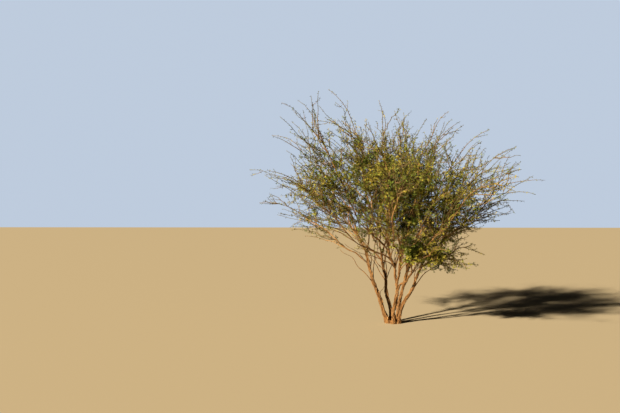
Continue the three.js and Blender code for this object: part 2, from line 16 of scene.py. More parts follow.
import bpy
import numpy as np
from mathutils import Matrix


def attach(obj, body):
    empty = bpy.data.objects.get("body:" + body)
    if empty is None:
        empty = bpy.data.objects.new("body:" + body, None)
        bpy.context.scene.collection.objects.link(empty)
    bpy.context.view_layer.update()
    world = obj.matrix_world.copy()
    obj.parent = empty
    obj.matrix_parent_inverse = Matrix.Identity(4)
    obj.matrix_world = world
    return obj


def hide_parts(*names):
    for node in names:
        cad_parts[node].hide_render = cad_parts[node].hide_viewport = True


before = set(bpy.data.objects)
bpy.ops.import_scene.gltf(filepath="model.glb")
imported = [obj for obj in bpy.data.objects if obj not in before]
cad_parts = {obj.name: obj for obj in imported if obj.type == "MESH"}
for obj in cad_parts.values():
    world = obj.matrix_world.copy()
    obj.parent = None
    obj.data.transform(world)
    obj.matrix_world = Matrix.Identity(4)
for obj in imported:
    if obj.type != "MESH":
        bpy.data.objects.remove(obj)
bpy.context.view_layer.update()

log = logging.getLogger("acacia")

BODY = "root"
SEED = 638
NAME_SHIFTS = 17
FOCUS = np.array([0.0, 0.0, 0.85])
UP = np.array([0.0, 0.0, 1.0])
EAST = np.array([1.0, 0.0, 0.0])
GOLDEN_SHARE = 0.618034
GOLDEN_ANGLE = math.pi * (3 - math.sqrt(5))
FULL_TURN = 2 * math.pi
UPRIGHT = 0.9
WORD = 0xFFFFFFFF


class Stream(Enum):
    """What draws its random numbers from a stream of its own."""

    STEM = 11
    BOUGH = 23
    LEADER = 37
    SHOOT = 53
    SPRAY = 71
    LEAF = 89
    THORN = 97


class Draw:
    """Even random numbers from 0 to 1, by the same rule and in the same order as for the solids."""

    STEP = 0x6D2B79F5
    SPACING = (7919, 104729, 1009, 53)

    def __init__(self, seed: int) -> None:
        """Start a stream.

        Args:
            seed: any whole number.
        """
        self.state = seed & WORD

    @classmethod
    def of(cls, kind: Stream, first: int = 0, second: int = 0) -> Draw:
        """The stream of one limb, shoot or spray.

        Args:
            kind: what draws from it.
            first: which mass or limb.
            second: which shoot or attempt.

        Returns:
            The stream.
        """
        by_seed, by_kind, by_first, by_second = cls.SPACING
        return cls(SEED * by_seed + kind.value * by_kind + first * by_first + second * by_second)

    def __call__(self) -> float:
        """The next number of the stream.

        Returns:
            A number from 0 up to 1.
        """
        self.state = (self.state + self.STEP) & WORD
        mixed = self.state
        mixed = ((mixed ^ (mixed >> 15)) * (mixed | 1)) & WORD
        mixed ^= (mixed + (((mixed ^ (mixed >> 7)) * (mixed | 61)) & WORD)) & WORD
        return ((mixed ^ (mixed >> 14)) & WORD) / (WORD + 1)

    def random(self, shape: tuple[int, ...]) -> np.ndarray:
        """The next numbers of the stream, as an array of the given shape."""
        return np.array([self() for _ in range(math.prod(shape))]).reshape(shape)


def unit(vector: np.ndarray) -> np.ndarray:
    """The direction of a vector, or of each row of an array of vectors."""
    return vector / np.linalg.norm(vector, axis=-1, keepdims=True)


def polar(azimuth: float, elevation: float) -> np.ndarray:
    """The direction at an azimuth and an elevation.

    Args:
        azimuth: degrees from east towards north.
        elevation: degrees above the level.

    Returns:
        A unit vector.
    """
    level = math.cos(math.radians(elevation))
    east = level * math.cos(math.radians(azimuth))
    north = level * math.sin(math.radians(azimuth))
    return np.array([east, north, math.sin(math.radians(elevation))])


def side_axes(direction: np.ndarray) -> tuple[np.ndarray, np.ndarray]:
    """Two directions square to each given one and to each other.

    Args:
        direction: one unit vector, or an array of them.

    Returns:
        The two directions, each in the shape of the given ones.
    """
    level = np.abs(direction[..., 2:3]) < UPRIGHT
    first = unit(np.cross(direction, np.where(level, UP, EAST)))
    return first, np.cross(direction, first)


def turned(direction: np.ndarray, off: np.ndarray | float, roll: np.ndarray | float) -> np.ndarray:
    """Directions turned off their own line.

    Args:
        direction: one unit vector, or an array of them.
        off: the angle off the line, in radians.
        roll: towards where about the line, in radians.

    Returns:
        The turned directions.
    """
    first, second = side_axes(direction)
    off, roll = np.asarray(off)[..., None], np.asarray(roll)[..., None]
    aside = first * np.cos(roll) + second * np.sin(roll)
    return direction * np.cos(off) + aside * np.sin(off)


def spread_from(span: tuple[float, float], draws: np.ndarray | float) -> np.ndarray | float:
    """A value for each random number: the least, and up to the spread more."""
    least, spread = span
    return least + spread * draws


def strayed(share: np.ndarray | float, spread: float, draws: np.ndarray) -> np.ndarray:
    """Shares moved either way by up to half the spread. Where one runs past 0 or 1 it is turned back."""
    moved = share + spread * (draws - 0.5)
    return 1 - np.abs(1 - np.abs(moved))


def angle_between(one: np.ndarray, other: np.ndarray) -> float:
    """The angle between two vectors, in degrees."""
    cosine = float(np.dot(unit(one), unit(other)))
    return math.degrees(math.acos(max(-1.0, min(1.0, cosine))))


def at(path: np.ndarray, share: float) -> tuple[np.ndarray, np.ndarray]:
    """The point and the direction at a share of the way along a path.

    Args:
        path: points at even steps.
        share: how far along, from 0 to 1.

    Returns:
        The point, and a unit vector.
    """
    steps = len(path) - 1
    index = min(steps - 1, int(share * steps))
    rest = share * steps - index
    point = path[index] * (1 - rest) + path[index + 1] * rest
    return point, unit(path[index + 1] - path[index])


@dataclass(frozen=True)
class Course:
    """The line of a limb: a bow between two points, with slight kinks that die out at both ends."""

    start: np.ndarray
    leave: np.ndarray
    end: np.ndarray
    arrive: np.ndarray
    waver: float
    phases: tuple[float, ...]

    START_PULL = 0.4
    END_PULL = 0.35
    ACROSS = (7, 14)
    ASIDE = (8, 13)
    SHARES = (0.6, 0.4)

    def points(self, steps: int, first: float = 0.0) -> np.ndarray:
        """Points at even steps of the curve.

        Args:
            steps: how many stretches between them.
            first: where the first point lies, as a share of the curve.

        Returns:
            An array of steps + 1 points.
        """
        t = np.linspace(first, 1.0, steps + 1)[:, None]
        span = np.linalg.norm(self.end - self.start)
        second = self.start + self.leave * span * self.START_PULL
        third = self.end - self.arrive * span * self.END_PULL
        bow = (1 - t) ** 3 * self.start + 3 * (1 - t) ** 2 * t * second
        bow = bow + 3 * (1 - t) * t**2 * third + t**3 * self.end
        across, aside = side_axes(unit(self.end - self.start))
        fade = self.waver * np.sin(math.pi * t)
        return bow + across * fade * self.wave(t, self.ACROSS, 0) + aside * fade * self.wave(t, self.ASIDE, 2)

    def wave(self, t: np.ndarray, pace: tuple[int, int], phase: int) -> np.ndarray:
        """Two waves added, each with its share and its phase."""
        slow = self.SHARES[0] * np.sin(pace[0] * t + self.phases[phase])
        return slow + self.SHARES[1] * np.sin(pace[1] * t + self.phases[phase + 1])


def kinks(draw: Draw) -> tuple[float, ...]:
    """The four phases of a course's waves."""
    return tuple(draw() * FULL_TURN for _ in range(4))


@dataclass
class Limb:
    """One tapering limb: its course, the points its solid has, and its radii."""

    name: str
    course: Course
    path: np.ndarray
    radii: tuple[float, float]
    collar: float = 0.0
    first: float = 0.0
    load: int = 0
    heading: np.ndarray = field(default_factory=lambda: UP)

    COLLAR_SHARE = 0.14

    def radius_at(self, share: float) -> float:
        """The radius at a share of the solid's length, with the collar at its foot.

        Args:
            share: how far up from its foot, from 0 to 1.

        Returns:
            The radius.
        """
        start, end = self.radii
        swell = max(0.0, 1 - share / self.COLLAR_SHARE)
        return start + (end - start) * share + self.collar * swell * swell

    def radius_on_course(self, share: float) -> float:
        """The radius at a share of the whole course, of which the solid may be only the upper part."""
        return self.radius_at(max(0.0, (share - self.first) / (1 - self.first)))


@dataclass
class Mass:
    """One mass of foliage: the cone of space that it keeps to, and the bough that carries it."""

    name: str
    number: int
    azimuth: float
    elevation: float
    reach: float
    radius: float
    lowest: float
    carrier: Limb | None = None
    share: float = 1.0
    bough: Limb | None = None
    side_bough: Limb | None = None
    borders: np.ndarray = field(default_factory=lambda: np.zeros((0, 3)))

    BARE_SHARE = 0.37
    INNER_EDGE = (0.2, 0.5)
    LEAFY_INNER_EDGE = (0.08, 0.34)
    LEAFY_SIDE = (-80, 25)
    OUTER_EDGE = (0.59, 0.9)
    THIN_BELOW = 16
    THINNEST = 0.12
    # Painted light: the low masses' leaves are yellower to stand for the sun that lights them
    LOW_TONE = 0.9
    LOW_CROWD = 1.8

    @property
    def is_low(self) -> bool:
        """Whether it is one of the small masses under the crown's edge."""
        return self.name.startswith("low")

    @property
    def tone(self) -> float:
        """How yellow its leaves are on the whole, from 0 to 1. The low masses are made yellow-green as
        painted sunlight.
        """
        return self.LOW_TONE if self.is_low else Draw.of(Stream.LEAF, self.number)()

    @property
    def crowd(self) -> float:
        """How many leaves it has for each one elsewhere. The low masses are leafier."""
        return self.LOW_CROWD if self.is_low else 1.0

    @property
    def inner_edge(self) -> tuple[float, float]:
        """Where its leaves begin and where they are full: nearer to the stems at the front right.

        Returns:
            The two places, as shares of its reach.
        """
        azimuth = (self.azimuth + 180) % 360 - 180
        leafy = self.LEAFY_SIDE[0] < azimuth < self.LEAFY_SIDE[1]
        return self.LEAFY_INNER_EDGE if leafy else self.INNER_EDGE

    @property
    def axis(self) -> np.ndarray:
        """The direction of the mass from the crown's focus."""
        return polar(self.azimuth, self.elevation)

    @property
    def entry(self) -> np.ndarray:
        """Where the bough ends and the foliage begins."""
        return FOCUS + self.axis * self.reach * self.BARE_SHARE

    @property
    def outward(self) -> np.ndarray:
        """The level direction away from the tree's middle."""
        return unit(self.axis * np.array([1.0, 1.0, 0.0]))

    def holds(self, points: np.ndarray, limit: float, margin: float) -> np.ndarray:
        """Which points lie in the mass's space.

        Args:
            points: an array of points.
            limit: the furthest from the focus, as a share of the reach.
            margin: how far inside the borders of the cone, or outside if below zero.

        Returns:
            One truth value a point.
        """
        offset = points - FOCUS
        near = np.linalg.norm(offset, axis=-1) < self.reach * limit
        level = np.linalg.norm(offset[..., :2], axis=-1)
        above = offset[..., 2] >= level * math.tan(math.radians(self.lowest))
        return near & above & ((offset @ self.borders.T).min(axis=-1) >= margin)

    def fullness(self, points: np.ndarray) -> np.ndarray:
        """How full the foliage is at some points: 1 inside the crown, 0 among its limbs and at its tips.

        Args:
            points: an array of points.

        Returns:
            One share a point.
        """
        offset = points - FOCUS
        far = np.linalg.norm(offset, axis=-1) / self.reach
        bare_to, full_from = self.inner_edge
        full_to, bare_from = self.OUTER_EDGE
        inner = (far - bare_to) / (full_from - bare_to)
        outer = (bare_from - far) / (bare_from - full_to)
        return np.clip(np.minimum(inner, outer), 0.0, 1.0) * self.shelter(offset)

    def shelter(self, offset: np.ndarray) -> np.ndarray:
        """How full it is for the height over its underside, where the lower masses are thin.

        Args:
            offset: points, as seen from the focus.

        Returns:
            One share a point.
        """
        if not self.is_low and not self.name.startswith("skirt"):
            return np.ones(offset.shape[:-1])
        level = np.linalg.norm(offset[..., :2], axis=-1)
        height = np.degrees(np.arctan2(offset[..., 2], level)) - self.lowest
        return np.clip(height / self.THIN_BELOW, self.THINNEST, 1.0)


@dataclass(frozen=True)
class StemPlan:
    """A stem or leader: its foot or its place on the centre stem, its tip, radii and first lean."""

    name: str
    tip: tuple[float, float, float]
    radii: tuple[float, float]
    foot: tuple[float, float] = (0.0, 0.0)
    lean: tuple[float, float] = (0.0, 0.0)
    along: float = 0.0


@dataclass(frozen=True)
class TierPlan:
    """One ring of foliage masses round the crown."""

    name: str
    count: int
    azimuth: float
    elevation: float
    jitter: float
    drop: float = 30


@dataclass
class Skeleton:
    """The tree's stems, leaders, dead spurs and boughs, laid out by the rule of its solids."""

    stems: Sequence[StemPlan] = (
        StemPlan("left_stem", (-0.43, 0.02, 1.14), (0.042, 0.027), (-0.066, 0.0), (180, 24)),
        StemPlan("centre_stem", (0.07, -0.07, 0.6), (0.04, 0.032), (0.005, -0.038), (300, 4)),
        StemPlan("right_stem", (0.45, -0.04, 0.93), (0.035, 0.025), (0.086, 0.0), (0, 6)),
        StemPlan("back_left_stem", (-0.19, 0.37, 1.08), (0.036, 0.024), (-0.03, 0.076), (105, 12)),
        StemPlan("back_right_stem", (0.27, 0.36, 1.02), (0.035, 0.024), (0.058, 0.076), (60, 14)),
    )
    leaders: Sequence[StemPlan] = (
        StemPlan("centre_left_leader", (-0.07, -0.16, 1.3), (0.025, 0.019), along=1.0),
        StemPlan("centre_right_leader", (0.13, -0.3, 1.22), (0.024, 0.018), along=0.93),
        StemPlan("front_right_leader", (0.3, -0.21, 0.85), (0.022, 0.017), along=0.86),
    )
    spurs: Sequence[StemPlan] = (
        StemPlan("dead_spur", (-0.128, -0.04, 0.62), (0.01, 0.005), along=0.24),
        StemPlan("dead_stub", (-0.545, -0.03, 1.13), (0.014, 0.008), along=0.78),
    )
    tiers: Sequence[TierPlan] = (
        TierPlan("skirt", 8, 180, 29, 4, drop=6),
        TierPlan("shoulder", 7, 168, 50, 6),
        TierPlan("crest", 6, 200, 69, 6),
        TierPlan("top", 1, 0, 86, 0),
    )
    low_masses: Sequence[tuple[float, float, float]] = ((-18, 12, 1.47), (-52, 16, 1.35))
    reach_by_elevation: Sequence[tuple[float, float]] = (
        (8, 1.4), (28.5, 2.62), (49.5, 2.99), (70, 2.84), (90, 2.6),
    )

    # How far round, up and out the masses lie
    reach_jitter: float = 0.1
    swing: float = 2.6
    lopsided: float = 0.09
    lop_from: float = 25
    lop_to: float = 57
    front_lift: float = 6
    low_drop: float = 12

    # Stems, leaders and dead spurs
    stem_rise: float = 0.6
    leader_turn: float = 1.2
    stem_steps: int = 10
    stem_waver: float = 0.022
    spur_steps: int = 4
    spur_waver: float = 0.006
    spur_stream: int = 20
    crown_share: float = 0.13
    sunk: float = 0.006
    collar: float = 0.005

    # Boughs, and where they fork off
    bough_radii: tuple[float, float] = (0.017, 0.0105)
    low_bough_radius: float = 0.0135
    bough_steps: int = 6
    bough_waver: float = 0.018
    waver_span: float = 0.65
    bough_tries: int = 14
    wider_each_try: float = 0.25
    crowding: float = 9
    fork_angle: float = 40
    fork_spacing: float = 0.08
    fork_step: float = 0.02
    highest_fork: float = 0.96
    lowest_fork: float = 0.36
    along_carrier: float = 0.9
    entry_rise: float = 14
    steepest: float = 89

    # Side boughs, which the solids don't have
    side_stream: int = 100
    side_share: tuple[float, float] = (0.42, 0.3)
    lowest_side: float = 0.42
    side_off: float = 9
    side_reach: tuple[float, float] = (0.3, 0.16)
    side_radii: tuple[float, float] = (0.0115, 0.0055)
    side_waver: float = 0.03

    # Room between limbs
    junction: float = 0.12
    limb_space: float = 0.005
    checks_per_step: int = 2

    limbs: dict[str, Limb] = field(default_factory=dict)
    masses: list[Mass] = field(default_factory=list)

    def grow(self) -> None:
        """Lay out every limb and mass in the order of the solids."""
        self.grow_stems()
        self.grow_leaders()
        self.grow_spurs()
        self.lay_out_masses()
        self.share_out()
        for mass in self.masses:
            self.grow_bough(mass)
        for mass in self.masses:
            self.grow_side_bough(mass)

    def grow_stems(self) -> None:
        """The stems, whose feet belong to the root crown."""
        for index, plan in enumerate(self.stems):
            foot, tip = np.array([*plan.foot, 0.0]), np.array(plan.tip)
            leave = polar(plan.lean[0], 90 - plan.lean[1])
            arrive = unit(unit(tip - foot) + UP * self.stem_rise)
            phases = kinks(Draw.of(Stream.STEM, index))
            course = Course(foot, leave, tip, arrive, self.stem_waver, phases)
            first = self.crown_share - self.sunk / float(np.linalg.norm(tip - foot))
            whole = course.points(self.stem_steps)
            shares = np.linspace(first, 1.0, self.stem_steps + 1)
            path = np.array([at(whole, share)[0] for share in shares])
            self.limbs[plan.name] = Limb(plan.name, course, path, plan.radii, first=first)

    def grow_leaders(self) -> None:
        """The three leaders that the centre stem forks into."""
        for index, plan in enumerate(self.leaders):
            point, direction = at(self.limbs["centre_stem"].path, plan.along)
            tip = np.array(plan.tip)
            straight = unit(tip - point)
            leave = unit(direction + straight * self.leader_turn)
            arrive = unit(straight + UP * self.stem_rise)
            phases = kinks(Draw.of(Stream.STEM, len(self.stems) + index))
            start = point - direction * self.sunk
            course = Course(start, leave, tip, arrive, self.stem_waver, phases)
            path = course.points(self.stem_steps)
            self.limbs[plan.name] = Limb(plan.name, course, path, plan.radii, self.collar)

    def grow_spurs(self) -> None:
        """The two broken dead branches on the left stem."""
        for index, plan in enumerate(self.spurs):
            point, direction = at(self.limbs["left_stem"].path, plan.along)
            tip = np.array(plan.tip)
            straight = unit(tip - point)
            phases = kinks(Draw.of(Stream.STEM, self.spur_stream + index))
            course = Course(point, unit(direction + straight), tip, straight, self.spur_waver, phases)
            path = course.points(self.spur_steps)
            self.limbs[plan.name] = Limb(plan.name, course, path, plan.radii)

    def lay_out_masses(self) -> None:
        """Where each mass lies and how far it reaches."""
        draw = Draw(SEED)
        heights, reaches = zip(*self.reach_by_elevation)
        for tier in self.tiers:
            for i in range(tier.count):
                swing = (draw() - 0.5) * self.swing * tier.jitter
                azimuth = tier.azimuth + (360 / tier.count) * i + swing
                elevation = tier.elevation + (draw() - 0.5) * 2 * tier.jitter
                if tier.name == "skirt":
                    elevation += self.front_lift * max(0.0, -math.sin(math.radians(azimuth)))
                side = math.cos(math.radians(azimuth - 180))
                height = 2 * math.radians(min(elevation, self.lop_to) - self.lop_from)
                lop = 1 + self.lopsided * side * math.sin(height)
                spread = 1 + (draw() - 0.5) * self.reach_jitter
                reach = float(np.interp(elevation, heights, reaches)) * spread * lop
                name, lowest = f"{tier.name}_{i + 1}", elevation - tier.drop
                self.add_mass(name, azimuth, elevation, reach, self.bough_radii[0], lowest)
        for i, (azimuth, elevation, reach) in enumerate(self.low_masses):
            lowest = elevation - self.low_drop
            self.add_mass(f"low_{i + 1}", azimuth, elevation, reach, self.low_bough_radius, lowest)
        for mass in self.masses:
            others = np.array([other.axis for other in self.masses if other is not mass])
            mass.borders = unit(mass.axis - others)

    def add_mass(
        self, name: str, azimuth: float, elevation: float, reach: float, radius: float, lowest: float
    ) -> None:
        """Add one mass to the list, under the next number."""
        self.masses.append(Mass(name, len(self.masses), azimuth, elevation, reach, radius, lowest))

    def share_out(self) -> None:
        """Give each mass to the stem or leader that points its way and isn't crowded yet."""
        carriers = [self.limbs[plan.name] for plan in (*self.stems, *self.leaders)]
        free = [limb for limb in carriers if limb.name != "centre_stem"]
        for limb in free:
            limb.heading = unit(limb.path[-1] - FOCUS)
        lowest_first = sorted(self.masses, key=lambda mass: mass.elevation)
        for mass in lowest_first:
            costs = [angle_between(limb.heading, mass.axis) + self.crowding * limb.load for limb in free]
            mass.carrier = free[costs.index(min(costs))]
            mass.carrier.load += 1
        for limb in free:
            self.place_forks(limb, [mass for mass in lowest_first if mass.carrier is limb])

    def fork_turn(self, limb: Limb, share: float, mass: Mass) -> float:
        """How sharply a bough turns off its carrier there, in degrees."""
        point, direction = at(limb.path, share)
        return angle_between(direction, mass.entry - point)

    def place_forks(self, limb: Limb, carried: list[Mass]) -> None:
        """One bough goes on from the tip, and the others fork off as high as they can.

        Args:
            limb: the stem or leader that carries them.
            carried: its masses, the lowest first.
        """
        turns = [self.fork_turn(limb, 1.0, mass) for mass in carried]
        straightest = carried[turns.index(min(turns))]
        taken: list[float] = []
        for mass in reversed(carried):
            if mass is straightest:
                continue
            share = self.highest_fork
            while share > self.lowest_fork and (
                any(abs(other - share) < self.fork_spacing for other in taken)
                or self.fork_turn(limb, share, mass) > self.fork_angle
            ):
                share -= self.fork_step
            mass.share = share
            taken.append(share)

    def grow_bough(self, mass: Mass) -> None:
        """The bough of a mass, from its fork to the entry of the mass.

        Args:
            mass: the mass that it carries.
        """
        radii = (mass.radius, self.bough_radii[1])
        name = f"bough_{mass.name}"
        mass.bough = self.lead(name, mass, mass.share, mass.entry, radii, self.bough_waver, mass.number)
        self.limbs[name] = mass.bough

    def grow_side_bough(self, mass: Mass) -> None:
        """A thinner bough that leaves the same stem lower down and ends in the mass, beside the first.

        Args:
            mass: the mass that it goes to.
        """
        draw = Draw.of(Stream.BOUGH, mass.number, self.side_stream)
        share = max(self.lowest_side, mass.share * spread_from(self.side_share, draw()))
        heading = turned(mass.axis, math.radians(self.side_off), draw() * FULL_TURN)
        tip = FOCUS + heading * mass.reach * spread_from(self.side_reach, draw())
        name, number = f"side_bough_{mass.name}", self.side_stream + mass.number
        mass.side_bough = self.lead(name, mass, share, tip, self.side_radii, self.side_waver, number)
        self.limbs[name] = mass.side_bough

    def lead(
        self, name: str, mass: Mass, share: float, tip: np.ndarray, radii: tuple[float, float],
        waver: float, number: int,
    ) -> Limb:
        """Lead a bough from the mass's carrier to its tip, where there is room.

        Args:
            name: the limb's name.
            mass: the mass that it goes to.
            share: how far up the carrier it starts.
            tip: where it ends.
            radii: at its foot and at its tip.
            waver: how far it strays from a smooth line.
            number: the number of its stream.

        Returns:
            The first try that clears the other limbs, or else the roomiest.
        """
        point, direction = at(mass.carrier.path, share)
        if share == 1:
            point = point - direction * self.sunk
        leave = unit(direction * self.along_carrier + unit(tip - point))
        arrive = polar(mass.azimuth, min(self.steepest, mass.elevation + self.entry_rise))
        amount = waver * min(1.0, np.linalg.norm(tip - point) / self.waver_span)
        best = None
        for attempt in range(self.bough_tries):
            wider = amount * (1 + self.wider_each_try * attempt)
            phases = kinks(Draw.of(Stream.BOUGH, number, attempt))
            course = Course(point, leave, tip, arrive, wider, phases)
            limb = Limb(name, course, course.points(self.bough_steps), radii, self.collar)
            room = self.room_around(limb)
            if best is None or room > best[0]:
                best = (room, limb)
            if room > self.limb_space:
                break
        return best[1]

    def room_around(self, limb: Limb) -> float:
        """The least free space between a limb and those that are there already.

        Args:
            limb: the limb to test.

        Returns:
            The space, below zero where they meet.
        """
        room = math.inf
        count = self.checks_per_step * (len(limb.path) - 1)
        for i in range(1, count + 1):
            point = at(limb.path, i / count)[0]
            if np.linalg.norm(point - limb.path[0]) < self.junction:
                continue
            for other in self.limbs.values():
                gaps = distances_to_path(point, other.path)
                stretches = len(other.path) - 1
                thickness = [other.radius_at((k + 0.5) / stretches) for k in range(stretches)]
                room = min(room, float((gaps - thickness).min()) - limb.radius_at(i / count))
        return room


def distances_to_path(point: np.ndarray, path: np.ndarray) -> np.ndarray:
    """The distance from a point to each stretch of a path.

    Args:
        point: the point.
        path: the corners of the path.

    Returns:
        One distance a stretch.
    """
    start, along = path[:-1], np.diff(path, axis=0)
    share = ((point - start) * along).sum(1) / (along * along).sum(1)
    nearest = start + along * np.clip(share, 0, 1)[:, None]
    return np.linalg.norm(point - nearest, axis=1)


class Value:
    """A number socket that takes part in plain arithmetic."""

    def __init__(self, graph: Graph, socket: bpy.types.NodeSocket) -> None:
        """Wrap a socket of a graph."""
        self.graph = graph
        self.socket = socket

    def _math(self, operation: str, *values: object) -> Value:
        """The result of a Math node on some values or sockets."""
        node = self.graph.node("ShaderNodeMath", {"operation": operation}, dict(enumerate(values)))
        return Value(self.graph, node.outputs[0])

    def __add__(self, other: object) -> Value:
        """This number and another."""
        return self._math("ADD", self, other)

    __radd__ = __add__

    def __sub__(self, other: object) -> Value:
        """This number less another."""
        return self._math("SUBTRACT", self, other)

    def __rsub__(self, other: object) -> Value:
        """Another number less this one."""
        return self._math("SUBTRACT", other, self)

    def __mul__(self, other: object) -> Value:
        """This number times another."""
        return self._math("MULTIPLY", self, other)

    def near(self, middle: float, width: float) -> Value:
        """1 at the middle, and 0 from the width on to either side."""
        return self.between(middle - width, middle) * (1 - self.between(middle, middle + width))

    def between(self, low: float, high: float) -> Value:
        """0 below low, 1 above high, and smooth between them.

        Args:
            low: up to where it is 0.
            high: from where on it is 1.

        Returns:
            The new number.
        """
        settings = {"interpolation_type": "SMOOTHSTEP"}
        node = self.graph.node("ShaderNodeMapRange", settings, {0: self, 1: low, 2: high, 3: 0.0, 4: 1.0})
        return Value(self.graph, node.outputs[0])


@dataclass(frozen=True)
class Clouds:
    """Cloudy noise, and the two levels between which what it stands for comes or goes."""

    scale: float
    detail: float
    roughness: float
    levels: tuple[float, float]


class Graph:
    """A node tree, with one method for every kind of node."""

    def __init__(self, tree: bpy.types.NodeTree) -> None:
        """Take up a node tree."""
        self.tree = tree

    def first(self, kind: str) -> bpy.types.Node:
        """The first node of a kind that the tree has."""
        return next(node for node in self.tree.nodes if node.type == kind)

    def node(self, kind: str, settings: dict[str, object], inputs: dict[object, object]) -> bpy.types.Node:
        """Add a node.

        Args:
            kind: its type.
            settings: its own options, set before its sockets.
            inputs: a value or a link for each socket, by name or number.

        Returns:
            The node.
        """
        node = self.tree.nodes.new(kind)
        for key, value in settings.items():
            setattr(node, key, value)
        for key, value in inputs.items():
            self.feed(node.inputs[key], value)
        return node

    def feed(self, socket: bpy.types.NodeSocket, value: object) -> None:
        """Link a value's socket to an input, or set the input to a plain value.

        Args:
            socket: the input.
            value: a number socket, any other output, or a plain value.
        """
        if isinstance(value, Value):
            self.tree.links.new(value.socket, socket)
        elif isinstance(value, bpy.types.NodeSocket):
            self.tree.links.new(value, socket)
        else:
            socket.default_value = value

    def mix(self, share: object, low: object, high: object) -> bpy.types.NodeSocket:
        """Mix two colours, which a Mix node takes at sockets 6 and 7.

        Args:
            share: how much of the second.
            low: the first colour.
            high: the second colour.

        Returns:
            The mixed colour, which a Mix node has at its third output.
        """
        settings = {"data_type": "RGBA", "blend_type": "MIX"}
        low = (*low, 1.0) if isinstance(low, tuple) else low
        high = (*high, 1.0) if isinstance(high, tuple) else high
        node = self.node("ShaderNodeMix", settings, {"Factor": share, 6: low, 7: high})
        return node.outputs[2]

    def noise(self, place: bpy.types.NodeSocket, clouds: Clouds) -> Value:
        """Make cloudy noise.

        Args:
            place: the coordinates that it follows.
            clouds: how coarse and how rough it is.

        Returns:
            The noise, as a number from 0 to 1.
        """
        inputs = {
            "Vector": place, "Scale": clouds.scale, "Detail": clouds.detail, "Roughness": clouds.roughness,
        }
        return Value(self, self.node("ShaderNodeTexNoise", {}, inputs).outputs[0])


class Paint(Graph):
    """The node tree of one material, with its Principled shader."""

    def __init__(self, name: str) -> None:
        """Make the material.

        Args:
            name: what it is called.
        """
        self.material = bpy.data.materials.new(name)
        self.material.use_nodes = True
        super().__init__(self.material.node_tree)
        self.shader = self.first("BSDF_PRINCIPLED")

    def finished(self, inputs: dict[str, object]) -> bpy.types.Material:
        """Feed the shader.

        Args:
            inputs: a value or a link for each of its sockets, by name.

        Returns:
            The finished material.
        """
        for key, value in inputs.items():
            self.feed(self.shader.inputs[key], value)
        return self.material


@dataclass(frozen=True)
class BarkFinish:
    """Rough bark: tan ridges, fine fibres and cracks along the limb, painted shade in hollows and cracks, and
    greyer patches.
    """

    name: str
    ridge: tuple[float, float, float] = (0.43, 0.25, 0.105)
    # Painted shade: the colour of the low parts between the ridges, dark for the shade that falls there
    hollow: tuple[float, float, float] = (0.095, 0.041, 0.014)
    # Painted shade: the fissures are real, and their near-black colour is the shade that falls in them
    crack_shade: tuple[float, float, float] = (0.032, 0.016, 0.009)
    fibre: tuple[float, float, float] = (0.52, 0.36, 0.19)
    patch: tuple[float, float, float] = (0.27, 0.195, 0.12)
    stretch: tuple[float, float, float] = (1.0, 1.0, 0.2)
    ridge_range: tuple[float, float] = (-0.2, 0.14)
    plates: Clouds = Clouds(46.0, 4.0, 0.6, (0.34, 0.64))
    fibres: Clouds = Clouds(170.0, 5.0, 0.7, (0.42, 0.66))
    patches: Clouds = Clouds(8.0, 3.0, 0.5, (0.5, 0.66))
    cracks: Clouds = Clouds(62.0, 3.0, 0.6, (0.5, 0.545))
    plate_share: float = 0.4
    fibre_share: float = 0.4
    patch_share: float = 0.6
    patch_in_hollows: float = 0.3
    crack_share: float = 0.75
    closed_on_ridges: float = 0.5
    ridge_rise: float = 0.6
    fibre_rise: float = 0.25
    crack_depth: float = 0.5
    relief: float = 0.004
    bump: float = 0.85
    roughness: tuple[float, float] = (0.84, 0.97)
    shine: float = 0.25

    def material(self) -> bpy.types.Material:
        """The bark as a material that follows each limb's own grain and ridges, with painted shade where they
        are low.

        Returns:
            The material.
        """
        graph = Paint(self.name)
        grain = graph.node("ShaderNodeAttribute", {"attribute_name": "grain"}, {}).outputs["Vector"]
        risen = graph.node("ShaderNodeAttribute", {"attribute_name": "ridge"}, {}).outputs["Fac"]
        settings = {"operation": "MULTIPLY"}
        drawn = graph.node("ShaderNodeVectorMath", settings, {0: grain, 1: self.stretch}).outputs[0]
        plates = graph.noise(drawn, self.plates).between(*self.plates.levels)
        fibres = graph.noise(drawn, self.fibres).between(*self.fibres.levels)
        patches = graph.noise(grain, self.patches).between(*self.patches.levels)
        middle, edge = self.cracks.levels
        cracks = graph.noise(drawn, self.cracks).near(middle, edge - middle)
        ridges = Value(graph, risen).between(*self.ridge_range)
        height = ridges * (1 - self.plate_share) + plates * self.plate_share
        cracked = cracks * (1 - ridges * self.closed_on_ridges) * self.crack_share
        # Painted shade: the lower a point lies among the ridges and plates, the nearer it comes to the dark
        # hollow colour
        colour = graph.mix(height, self.hollow, self.ridge)
        colour = graph.mix(fibres * height * self.fibre_share, colour, self.fibre)
        patched = patches * (self.patch_in_hollows + height * (1 - self.patch_in_hollows))
        colour = graph.mix(patched * self.patch_share, colour, self.patch)
        # Painted shade: the cracks are mixed to a near-black colour
        colour = graph.mix(cracked, colour, self.crack_shade)
        low, high = self.roughness
        rough = high - height * (high - low)
        rise = height * self.ridge_rise + fibres * self.fibre_rise - cracked * self.crack_depth
        inputs = {"Strength": self.bump, "Distance": self.relief, "Height": rise}
        bump = graph.node("ShaderNodeBump", {}, inputs).outputs[0]
        return graph.finished({
            "Base Color": colour, "Roughness": rough, "Normal": bump, "Specular IOR Level": self.shine,
        })


@dataclass(frozen=True)
class PlainFinish:
    """One even colour, as the work of many small things needs."""

    name: str
    colour: tuple[float, float, float]
    roughness: float = 0.7
    shine: float = 0.3

    def material(self) -> bpy.types.Material:
        """The finish as a material with plain values only."""
        return Paint(self.name).finished({
            "Base Color": (*self.colour, 1.0), "Roughness": self.roughness, "Specular IOR Level": self.shine,
        })


